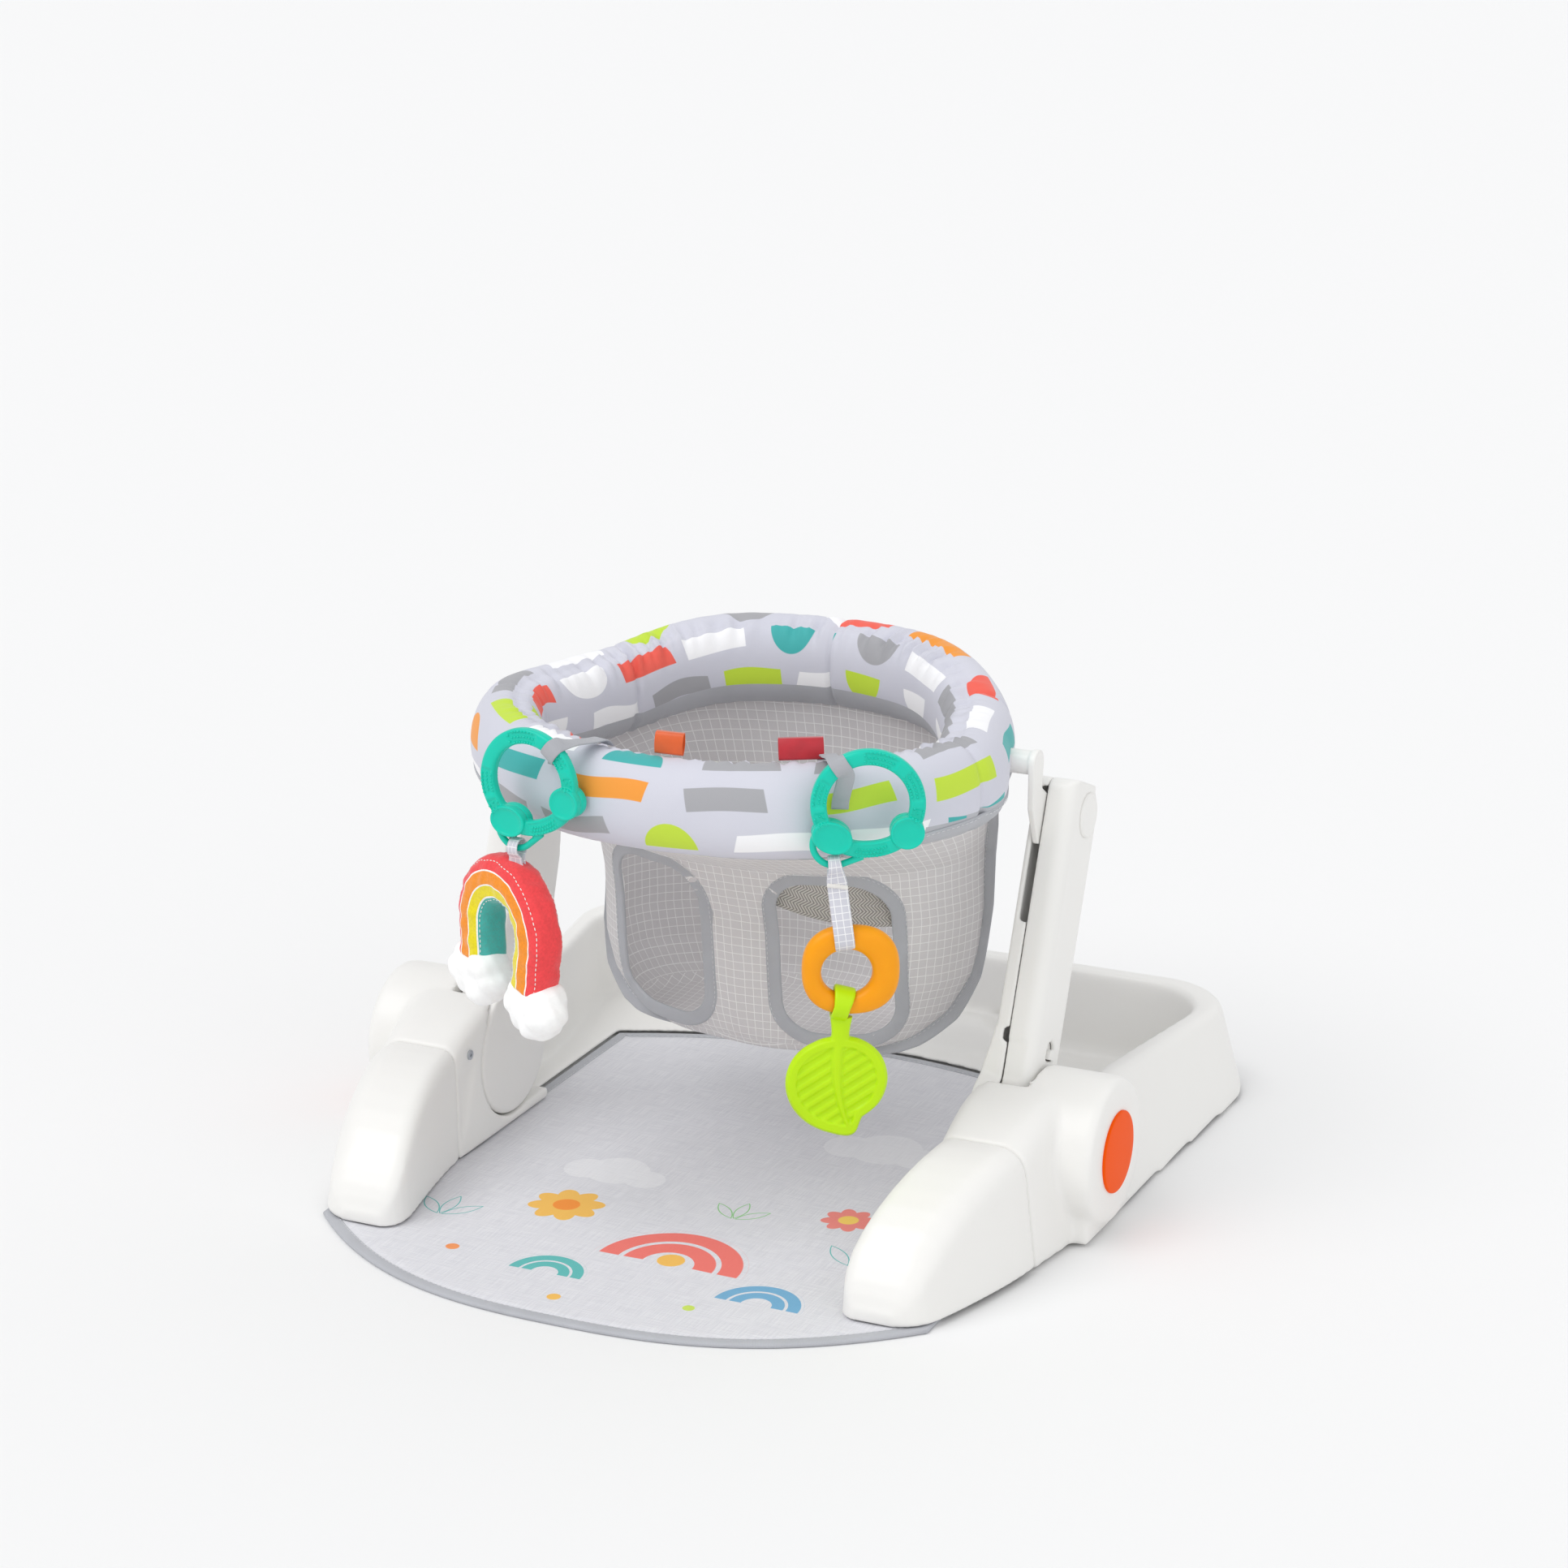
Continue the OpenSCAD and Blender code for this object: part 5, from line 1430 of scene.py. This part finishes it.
        path = np.stack([x, y, 183 - 12 * t - 4 * np.sin(t * 3.1)], -1)
        face = np.broadcast_to(np.array([0.35, -1.0, 0.1]), path.shape)
        made.append(tape_along("inner_webbing", path, face, 25.0, 1.6, WEBBING))
        return made


@dataclass
class ToySide:
    """Where a hanging toy ring is: its middle, its turn about the vertical and its spin, in millimetres and degrees."""

    word: str
    at: tuple[float, float, float]
    turn: float
    spin: float

    def place(self, local: Array) -> Array:
        """Return points of the toy's own plane in the object's frame."""
        q = math.radians(self.turn)
        c, s = math.cos(q), math.sin(q)
        x, y, z = np.moveaxis(local, -1, 0)
        return np.stack([x * c + z * s, x * s - z * c, y], -1) + np.array(self.at) + np.array([0, HUB_Y, 0])


@dataclass
class Toys:
    """The two toy rings with the rainbow, the amber ring and the leaf."""

    rim: float = 27.0
    band: float = 9.0
    thick: float = 7.0
    eye_at: float = 28.74
    eye_angle: float = 231.2
    eye_r: float = 12.0
    eye_wire: float = 3.8
    amber_wide: float = 27.0
    amber_tall: float = 25.6
    rainbow_drop: float = 14.5
    leaf_t: float = 7.0
    # dotted panels of the band: middle and half length in degrees, and dots in a row
    panels: tuple[tuple[float, float, int], ...] = (
        (75.0, 19.0, 8), (22.0, 17.0, 7), (-14.0, 9.0, 3), (165.0, 16.0, 6), (196.0, 8.0, 3), (273.0, 22.0, 9))

    left = ToySide("left", (-64.5, -140.5, 271.0), -6.0, 20.0)
    right = ToySide("right", (125.0, -106.5, 274.0), 28.0, 0.0)

    def eye_low(self, side: ToySide) -> Array:
        """Return the lowest point of the small eye, in the toy's plane."""
        q = math.radians(self.eye_angle + side.spin)
        return np.array([self.eye_at * math.cos(q), self.eye_at * math.sin(q) - self.eye_r])

    def build(self, repeat: Repeat, pad: SeatRing) -> None:
        """Make both toys."""
        for side, crown, angle, face in ((self.left, -14.0, 52.0, (-20.0, 42.0)),
                                         (self.right, 40.0, 124.0, (40.5, 20.0))):
            body = "toy_" + side.word
            ring = self.ring(side)
            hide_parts("toy_ring_" + side.word)
            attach(ring, body)
            dots = self.dots(side, ring, repeat)
            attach(dots, body)
            loop = self.loop(side, pad, crown, angle, face)
            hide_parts("toy_loop_" + side.word)
            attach(loop, "seat")
            log.info("toy ring, %s", side.word)
        self.rainbow(repeat)
        self.teethers(repeat)

    def turned(self, q: Array, r: Array, z: Array) -> Array:
        """Return points from angles in degrees, radii and depths in a toy's plane."""
        return np.stack([r * np.cos(np.radians(q)), r * np.sin(np.radians(q)), z], -1)

    def panel(self, q: Array) -> Array:
        """Return how far the band's faces are sunk at angles in degrees, 1 in the dotted panels."""
        depth = np.zeros(q.shape)
        for middle, half, _ in self.panels:
            off = np.abs((q - middle + 180) % 360 - 180)
            depth = np.maximum(depth, ease((half + 1.5 - off) / 3.0))
        return depth

    def ring(self, side: ToySide) -> bpy.types.Object:
        """Return one toy ring, fused from its band, bar, lobes and eye."""
        s = side.spin
        q = np.arange(0, 360, 1.5)
        # the band is straighter between the lobes
        low = np.exp(-((q - 273) / 30) ** 2)
        centre = self.turned(q + s, self.rim * (1 - 0.06 * low), np.zeros(q.shape))
        out = self.turned(q + s, np.ones(q.shape), np.zeros(q.shape))
        cut = oval(self.band, self.thick, 56, 3.4)
        sunk = 0.85 * self.panel(q)[:, None] * ease((3.4 - np.abs(cut[:, 0])) / 0.9)[None, :]
        cut = np.stack([np.broadcast_to(cut[:, 0], sunk.shape), cut[:, 1] - np.sign(cut[:, 1]) * sunk], -1)
        parts = [swept("band", TEAL, centre, out, UP, cut, True, place=side.place)]
        for angle, wide, tall, tilt in ((222, 11.4, 8.9, -22.0), (324, 9.4, 9.2, 0.0)):
            mid = self.turned(np.array([angle + s]), np.array([self.rim - 0.6]), np.array([0.0]))[0]
            edge = [(0.95, 0.0), (1.0, 1.2), (1.0, 4.3), (0.985, 5.0), (0.94, 5.4), (0.87, 5.3), (0.78, 4.7),
                    (0.6, 4.3), (0.3, 4.2), (0.04, 4.2)]
            edge = [(k, -h) for k, h in edge[:0:-1]] + edge
            t = np.radians(np.arange(0, 360, 6.0))
            rows = np.array([[(wide * k * math.cos(v), tall * k * math.sin(v), h) for v in t] for k, h in edge])
            c, n = math.cos(math.radians(tilt + s)), math.sin(math.radians(tilt + s))
            x, y, z = np.moveaxis(rows, -1, 0)
            parts.append(stacked("lobe", side.place(np.stack([x * c - y * n, x * n + y * c, z], -1) + mid), TEAL))
        # the eye is a wire that leaves the first lobe, runs round below and comes back to the bar
        v = np.linspace(150, 290, 40) + s
        mid = self.turned(np.array([self.eye_angle + s]), np.array([self.eye_at]), np.array([0.0]))[0]
        arc = self.turned(v, np.full(v.shape, self.eye_r), np.zeros(v.shape)) + mid
        end = math.radians(290.0 + s)
        straight = arc[-1] + np.outer(np.linspace(1, 12, 8), np.array([-math.sin(end), math.cos(end), 0.0]))
        path = np.vstack([arc, straight])
        run = unit(np.gradient(path, axis=0))
        across = np.stack([run[:, 1], -run[:, 0], np.zeros(len(run))], -1)
        wire = oval(self.eye_wire, self.eye_wire, 16)
        parts.append(swept("eye", TEAL, path, across, UP, wire, False, place=side.place))
        return fused("toy_ring_" + side.word + "_skin", parts, 0.42, 2, TEAL)

    def dots(self, side: ToySide, ring: bpy.types.Object, repeat: Repeat) -> bpy.types.Object:
        """Return the patches of raised dots in the panels on both faces of the band."""
        points = []
        for face in (-1, 1):
            for middle, _, count in self.panels:
                for k in range(count):
                    for lane in (-1, 0, 1):
                        q = middle + (k - (count - 1) / 2 + (0.5 if lane else 0)) * 4.2
                        points.append(self.turned(np.array([q + side.spin]), np.array([self.rim + lane * 2.0]),
                                                  np.array([face * 5.0]))[0])
        place, look = seated(ring, side.place(np.array(points)), -0.1)
        return repeat.lay("toy_ring_dots_" + side.word, [(place, look, False)], (1.6, 1.6, 1.5), None, TEAL)

    def loop(self, side: ToySide, pad: SeatRing, crown: float, angle: float,
             face: tuple[float, float]) -> bpy.types.Object:
        """Return the fabric loop that comes from the pad's crown, runs over a toy ring and is sewn down below.

        Args:
            side: the toy.
            pad: the ring pad.
            crown: where it starts on the pad's crown, as the angle round the ring.
            angle: where it runs over the toy ring's band.
            face: where it ends, as angles round the ring and round the section.

        Returns:
            The piece.
        """
        first = pad.on_pad(np.full(3, crown), np.array([112.0, 98.0, 82.0]), np.array([-2.0, 0.8, 1.2]))
        end = pad.on_pad(np.array([face[0]]), np.array([face[1]]), 0.3)[0]
        normal = side.place(UP) - side.place(np.zeros(3))
        half, deep = self.band / 2, self.thick / 2
        off = np.array([half + 1.0, half - 1.0, 1.0 - half, -half - 1.4])
        over = side.place(self.turned(np.full(4, angle), self.rim + off,
                                      np.array([0.6, deep + 0.9, deep + 1.0, deep - 1.6])))
        down = unit(end - over[3])
        knots = np.vstack([first, over, end - down * 1.0, end + np.array([0.0, 0.0, -3.5])])
        at = run_of(knots)
        t = np.linspace(0, at[-1], 60)
        path = blurred(np.stack([np.interp(t, at, knots[:, k]) for k in range(3)], -1), 5)
        # the face turns from the crown's upward way to the band's front
        share = np.interp(t / at[-1], [0, 0.35, 0.6, 1], [1.0, 0.8, 0.0, 0.0])[:, None]
        look = UP * share + normal * (1 - share)
        loop = tape_along("toy_loop_" + side.word + "_tape", path, look, 9.6, 1.1, LOOP_TAPE)
        return loop

    def strap(self, side: ToySide, name: str, lean: float, path: Array, wide: Array, finish: Finish,
              loop: bool) -> bpy.types.Object:
        """Return a strap that hangs from a toy ring's small eye.

        Args:
            side: the toy.
            name: the piece's name.
            lean: how far it leans, in degrees.
            path: its middle line as distances down from the eye and forward.
            wide: its width at each point.
            finish: its finish.
            loop: the strap closes on itself.

        Returns:
            The piece.
        """
        low = self.eye_low(side)
        q = math.radians(lean)
        start = np.array([low[0], low[1] + 0.3, 0.0])
        local = start + np.outer(path[:, 0], (math.sin(q), -math.cos(q), 0.0)) + np.outer(path[:, 1], (0.0, 0.0, 1.0))
        run = np.roll(local, -1, 0) - np.roll(local, 1, 0) if loop else np.gradient(local, axis=0)
        across = np.array([math.cos(q), math.sin(q), 0.0])
        look = side.place(np.cross(unit(run), across)) - side.place(np.zeros(3))
        return tape_along(name, side.place(local), look, wide, 1.1, finish, loop)

    def rainbow(self, repeat: Repeat) -> None:
        """Make the rainbow, its clouds, its strap and its stitches."""
        side = self.left
        t = np.radians(np.linspace(-150, 150, 30))
        head = np.stack([-5.0 * np.cos(t), 5.0 * np.sin(t)], -1)
        tail = np.stack([np.linspace(6.0, 17.5, 10), np.linspace(1.6, 0.65, 10)], -1)
        path = np.vstack([tail[::-1] * [1, -1], head, tail])
        wide = np.interp(path[:, 0], [-5, 2, 9, 17], [6.5, 7.0, 9.5, 10.5])
        strap = self.strap(side, "rainbow_strap_tape", 0.0, path, wide, PALE_GRID, False)
        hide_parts("rainbow_strap")
        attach(strap, "rainbow")
        low = self.eye_low(side)
        base = side.place(np.array([low[0], low[1] + 0.3 - self.rainbow_drop, 0.0]))
        turn = math.radians(-29)
        c, s = math.cos(turn), math.sin(turn)
        lean = math.radians(-5.0)

        def place(local: Array) -> Array:
            """Return points of the rainbow's own plane in the object's frame."""
            x, y, z = local[..., 0] - 6, local[..., 1] - 37, local[..., 2]
            x, y = x * math.cos(lean) - y * math.sin(lean), x * math.sin(lean) + y * math.cos(lean)
            return np.stack([x * c + z * s, x * s - z * c, y], -1) + base

        inner, outer, leg, thick = 15.0, 44.0, 27.0, 25.0
        mid, half = (inner + outer) / 2, (outer - inner) / 2
        q = np.radians(np.linspace(0, 180, 40))
        arch = [(mid - 2.0 * (1 - k / leg), -leg + k) for k in np.linspace(0, leg, 14)[:-1]] + [
            (mid * math.cos(v), mid * math.sin(v)) for v in q] + [
            (-mid + 2.0 * k / leg, -k) for k in np.linspace(0, leg, 14)[1:]]
        path = np.array([(x, y, 0.0) for x, y in arch])
        run = unit(np.gradient(path, axis=0))
        out = np.stack([run[:, 1], -run[:, 0], run[:, 2]], -1)
        cut = oval(2 * half - 0.5, thick - 3, 48, 2.7)
        points, faces, uv = sweep(path, out, UP, cut, False)
        # the map across: 0 at the inner edge, 30 at the outer
        wide = len(cut)
        across = np.tile((cut[:, 0] + half) * 15 / half, len(path))
        body = outward(piece("rainbow_plush", place(points), faces, ARCH, uv))
        mesh = body.data
        corner = np.zeros(len(mesh.loops), int)
        mesh.loops.foreach_get("vertex_index", corner)
        along = np.repeat(run_of(path), wide)
        mesh.uv_layers["Cloth"].data.foreach_set(
            "uv", (np.stack([along[corner], across[corner]], -1) * MM).astype(np.float32).ravel())
        puff(body, 4.5, 3.0)
        finer(body)
        moved(body, self.creases)
        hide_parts("rainbow")
        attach(body, "rainbow")
        lines = []
        for radius, depth in ((half - 1.2, thick / 2 - 2.0), (half - 1.2, 2.0 - thick / 2),
                              (-half + 1.0, thick / 2 - 1.5)):
            spots, look = seated(body, place(path + out * radius + UP * depth), 0.1)
            lines.append((spots, look, False))
        row = repeat.lay("rainbow_stitches", lines, (2.1, 0.62, 0.5), 3.0, WHITE_THREAD)
        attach(row, "rainbow")
        for sign, word in ((-1, "left"), (1, "right")):
            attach(self.cloud(place, sign * 28.0, -leg - 9.0, word), "rainbow")
        log.info("rainbow")

    def creases(self, points: Array, normals: Array) -> Array:
        """Draw small stitched creases into a plush skin."""
        return points + normals * waves(points, 17, 16, 0.32, 0.10)[:, None]

    def cloud(self, place: Callable[[Array], Array], x: float, y: float, word: str) -> bpy.types.Object:
        """Return one puffy cloud of gathered white plush."""
        rng = np.random.default_rng(21 if word == "left" else 22)
        balls = [(0.0, 0.0, 0.0, 15.0)] + [
            (13.0 * math.cos(q), 9.0 * math.sin(q), rng.uniform(-1.5, 1.5), 10.5 + rng.uniform(-0.8, 1.2))
            for q in np.radians((-170, -118, -62, -8, 48, 132))]
        parts = []
        for bx, by, bz, r in balls:
            v = np.linspace(0.12, math.pi - 0.12, 12)
            w = np.arange(20) * math.tau / 20
            rows = np.array([[(bx + r * math.sin(p) * math.cos(o), by + r * math.sin(p) * math.sin(o),
                               bz + min(14.0, r * 1.15) * math.cos(p)) for o in w] for p in v]) + np.array([x, y, 0])
            parts.append(stacked("puff", place(rows), CLOUD))
        cloud = fused("rainbow_cloud_" + word, parts, 1.5, 3, CLOUD)
        puff(cloud, 4.0, 2.5)
        finer(cloud)
        moved(cloud, self.creases)
        if word == "left":
            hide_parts("rainbow_clouds")
        return cloud

    def teethers(self, repeat: Repeat) -> None:
        """Make the right-hand strap, the amber ring and the leaf."""
        side = self.right
        low = self.eye_low(side)
        lean = math.radians(8.8)
        cross = np.array([low[0] + 32.4 * math.tan(lean), low[1] + 0.3 - 32.4])
        amber = np.array([cross[0] + 4, cross[1] - 26.5 - 1.6])
        # one loop: round the eye, through the bar tack, round the amber ring's wall and back
        reach, tack = 41.2, 12.5
        t = np.linspace(0, 1, 24)
        front = np.stack([tack + 1 + t * (reach - 1.5 - tack - 1), 0.75 + 6.75 * ease(t) ** 0.9], -1)
        v = np.radians(np.linspace(80, -80, 24))
        under = np.stack([reach + 7.5 * np.cos(v), 7.5 * np.sin(v)], -1)
        v = np.radians(np.linspace(-150, 150, 28))
        head = np.stack([-5.0 * np.cos(v), 5.0 * np.sin(v)], -1)
        neck = np.stack([np.linspace(5.5, tack, 8), np.linspace(1.9, 0.75, 8)], -1)
        path = np.vstack([front, under, front[::-1] * [1, -1], neck[::-1] * [1, -1], head, neck])
        wide = np.interp(path[:, 0], [-5, 2, tack - 3, reach], [6.5, 8.0, 11.0, 11.0])
        strap = self.strap(side, "teether_strap_tape", 7.0, path, wide, PALE_GRID, True)
        q = math.radians(7.0)
        at = np.array([low[0] + tack * math.sin(q), low[1] + 0.3 - tack * math.cos(q), 3.0])
        ends = np.array([[-5.0, 0.9, 0.0], [5.0, -0.3, 0.0]])
        spots, look = seated(strap, side.place(at + np.outer(np.linspace(0, 1, 12), ends[1] - ends[0]) + ends[0]), 0.2)
        bar = repeat.lay("strap_bar_tack", [(spots, look, False)], (1.5, 3.0, 1.5), 0.8, WHITE_THREAD)
        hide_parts("teether_strap")
        for thing in (strap, bar):
            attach(thing, "teether")
        ring = self.amber(side, amber)
        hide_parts("amber_teether")
        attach(ring, "teether")
        leaf = self.leaf(side, amber)
        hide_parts("leaf_teether")
        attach(leaf, "leaf")
        log.info("amber ring and leaf")

    def amber(self, side: ToySide, mid: Array) -> bpy.types.Object:
        """Return the amber ring: rounded square outside, with a rounder hole a little to the left."""
        q = np.arange(0, 360, 3.0)
        c, s = np.cos(np.radians(q)), np.sin(np.radians(q))
        power = 2.45
        outer = 1 / ((np.abs(c) / self.amber_wide) ** power + (np.abs(s) / self.amber_tall) ** power) ** (1 / power)
        hole = np.stack([-2.2 + 14.0 * c, -1.2 + 13.2 * s], -1)
        rim = np.stack([outer * c, outer * s], -1)
        middle = (rim + hole) / 2
        half = np.linalg.norm(rim - hole, axis=1) / 2
        way = unit(np.column_stack([rim - hole, np.zeros(len(q))]))
        unit_cut = oval(2.0, 2.0, 28, 2.3)
        cut = np.stack([unit_cut[None, :, 0] * half[:, None], np.broadcast_to(unit_cut[:, 1] * 6.0, (len(q), 28))], -1)
        centre = np.column_stack([middle + mid, np.zeros(len(q))])
        return finer(swept("amber_ring", AMBER, centre, way, UP, cut, True, place=side.place))

    def leaf_edge(self, q: Array) -> Array:
        """Return the leaf's radius at angles in degrees, with its tip at the lower right."""
        at = [-180, -150, -130, -110, -95, -84, -76, -70, -64, -57, -48, -30, 0, 30, 60, 90, 120, 150, 180]
        radius = [27.8, 28.8, 29.6, 30.6, 31.8, 33.6, 34.6, 33.6, 29.6, 26.6, 27.0, 28.0, 28.8, 28.6, 27.0, 25.0, 25.0,
                  26.6, 27.8]
        fine = np.interp((np.arange(360) + 180) % 360 - 180, at, radius)
        fine = blurred(fine, 12, True)
        return np.interp(q % 360, np.arange(361), np.append(fine, fine[0]))

    def leaf(self, side: ToySide, amber: Array) -> bpy.types.Object:
        """Return the leaf with its ribs, stem and hook."""
        lean = math.radians(-14.4)
        hook = np.array([amber[0] + 20.14 * math.sin(lean), amber[1] - 20.14 * math.cos(lean)])
        mid = hook + np.array([-3.0, -45.0])
        q = np.arange(0, 360, 1.5)
        edge = self.leaf_edge(q)
        ks = np.concatenate([np.linspace(0.012, 0.80, 64), np.linspace(0.812, 1.0, 14)])
        plan = np.stack([np.outer(ks, edge * np.cos(np.radians(q))), np.outer(ks, edge * np.sin(np.radians(q)))], -1)
        x, y = plan[..., 0], plan[..., 1]
        k = np.broadcast_to(ks[:, None], x.shape)
        bend = x - (0.6 + 0.0066 * (y - 4) ** 2 * np.where(y < 4, 1.0, 0.35))
        thin = 2.9 - 1.5 * ease((18 - y) / 44)
        midrib = np.exp(-(bend / thin) ** 4)
        slant = math.radians(33)
        ribs = 0.5 + 0.5 * np.clip(np.sin((y * math.cos(slant) - x * math.sin(slant)) * math.tau / 5.8) * 1.9, -1, 1)
        ribs = ribs * ease((np.abs(bend) - thin) / 1.2)
        rim = ease((k - 0.76) / 0.05)
        height = self.leaf_t / 2 - 1.5 * (1 - rim) * (1 - np.maximum(ribs * 0.62, midrib * 1.15))
        height = height - 2.4 * ease((k - 0.92) / 0.08) ** 2
        layers = [np.concatenate([plan, height[..., None]], -1), np.concatenate([plan, -height[..., None]], -1)]
        rows, wide = x.shape
        faces = [list(f) for f in quads(rows, wide)]
        shift = rows * wide
        faces += [[v + shift for v in f][::-1] for f in quads(rows, wide)]
        last = (rows - 1) * wide
        faces += [[last + i, last + (i + 1) % wide, last + (i + 1) % wide + shift, last + i + shift]
                  for i in range(wide)]
        faces += [list(range(wide))[::-1], [shift + i for i in range(wide)]]
        points = np.concatenate([layers[0].reshape(-1, 3), layers[1].reshape(-1, 3)]) + np.array([mid[0], mid[1], 0])
        blade = outward(piece("blade", side.place(points), faces, LIME))
        t = np.radians(np.linspace(0, 360, 49)[:-1])
        r = 8.3
        wrap = np.stack([math.sin(lean) * np.sin(t) * -r, np.sin(t) * r * math.cos(lean), np.cos(t) * r], -1)
        wrap = wrap + np.array([hook[0], hook[1], 0])
        # widest over the amber ring's wall
        cut = np.stack([slab(2 * f, 2.6) for f in 4.6 + 1.6 * np.clip(np.sin(t), 0, 1)])
        run = unit(np.roll(wrap, -1, 0) - np.roll(wrap, 1, 0))
        sideways = np.array([math.cos(lean), math.sin(lean), 0])
        hooked = swept("hook", LIME, wrap, sideways, np.cross(sideways, run), cut, True, place=side.place)
        down = np.linspace(0, 1, 12)
        top = mid + np.array([2.2, 20.0])
        stem_path = np.column_stack([hook[0] + (top[0] - hook[0]) * down,
                                     hook[1] - 8.0 + (top[1] - hook[1] + 8.0) * down, np.zeros(12)])
        girth = np.interp(down, [0, 0.3, 0.6, 1], [12.6, 10.8, 9.8, 13.0])
        stem_cut = np.stack([oval(float(wide), 7.2, 20, 2.6) for wide in girth])
        stem = swept("stem", LIME, stem_path, np.array([1.0, 0, 0]), UP, stem_cut, False, place=side.place)
        return fused("leaf_skin", [blade, hooked, stem], 0.42, 2, LIME)


@dataclass
class Studio:
    """The floor, the lights and the camera."""

    eye: tuple[float, float, float] = (945.3, -2006.5, 933.7)
    look: tuple[float, float, float] = (25.7, -15.0, 242.0)
    lens: float = 91.6

    def build(self) -> None:
        """Make the camera, the lights and the floor."""
        scene = bpy.context.scene
        camera = bpy.data.objects.new("Camera", bpy.data.cameras.new("Camera"))
        camera.data.lens = self.lens
        camera.data.sensor_width = 36
        camera.data.clip_end = 50
        eye, look = Vector(self.eye) * MM, Vector(self.look) * MM
        camera.location = eye
        camera.rotation_euler = (look - eye).to_track_quat("-Z", "Y").to_euler()
        scene.collection.objects.link(camera)
        scene.camera = camera
        for name, way, power, spread in (("Key", (-0.55, -0.75, 1.25), 1.15, 45.0),
                                         ("Fill", (1.1, -0.8, 0.7), 0.50, 70.0),
                                         ("Rim", (0.3, 1.2, 1.0), 0.25, 70.0)):
            light = bpy.data.objects.new(name, bpy.data.lights.new(name, "SUN"))
            light.data.energy = power
            light.data.angle = math.radians(spread)
            light.rotation_euler = Vector(way).to_track_quat("Z", "Y").to_euler()
            scene.collection.objects.link(light)
        world = bpy.data.worlds.new("Studio")
        world.use_nodes = True
        back = world.node_tree.nodes["Background"]
        back.inputs["Color"].default_value = (0.985, 0.99, 1.0, 1.0)
        back.inputs["Strength"].default_value = 0.67
        scene.world = world
        scene.view_settings.view_transform = "Standard"
        size = 16000.0
        corners = np.array([(-size, -size, 0), (size, -size, 0), (size, size, 0), (-size, size, 0)], float)
        floor = piece("floor", corners, [(0, 1, 2, 3)], FLOOR)
        log.info("studio")


def main() -> None:
    """Build the seat in order, and report each piece."""
    logging.basicConfig(level=logging.INFO, format="%(name)s: %(message)s")
    Studio().build()
    repeat = Repeat("Small repeats")
    Base().build()
    Uprights().build()
    Mat().build(repeat)
    pad = SeatRing()
    pad.build(repeat)
    Sling().build(repeat)
    Toys().build(repeat, pad)
    dress("ring_tube", ZINC)
    bpy.context.view_layer.update()
    log.info("size written")


if __name__ == "__main__":
    main()
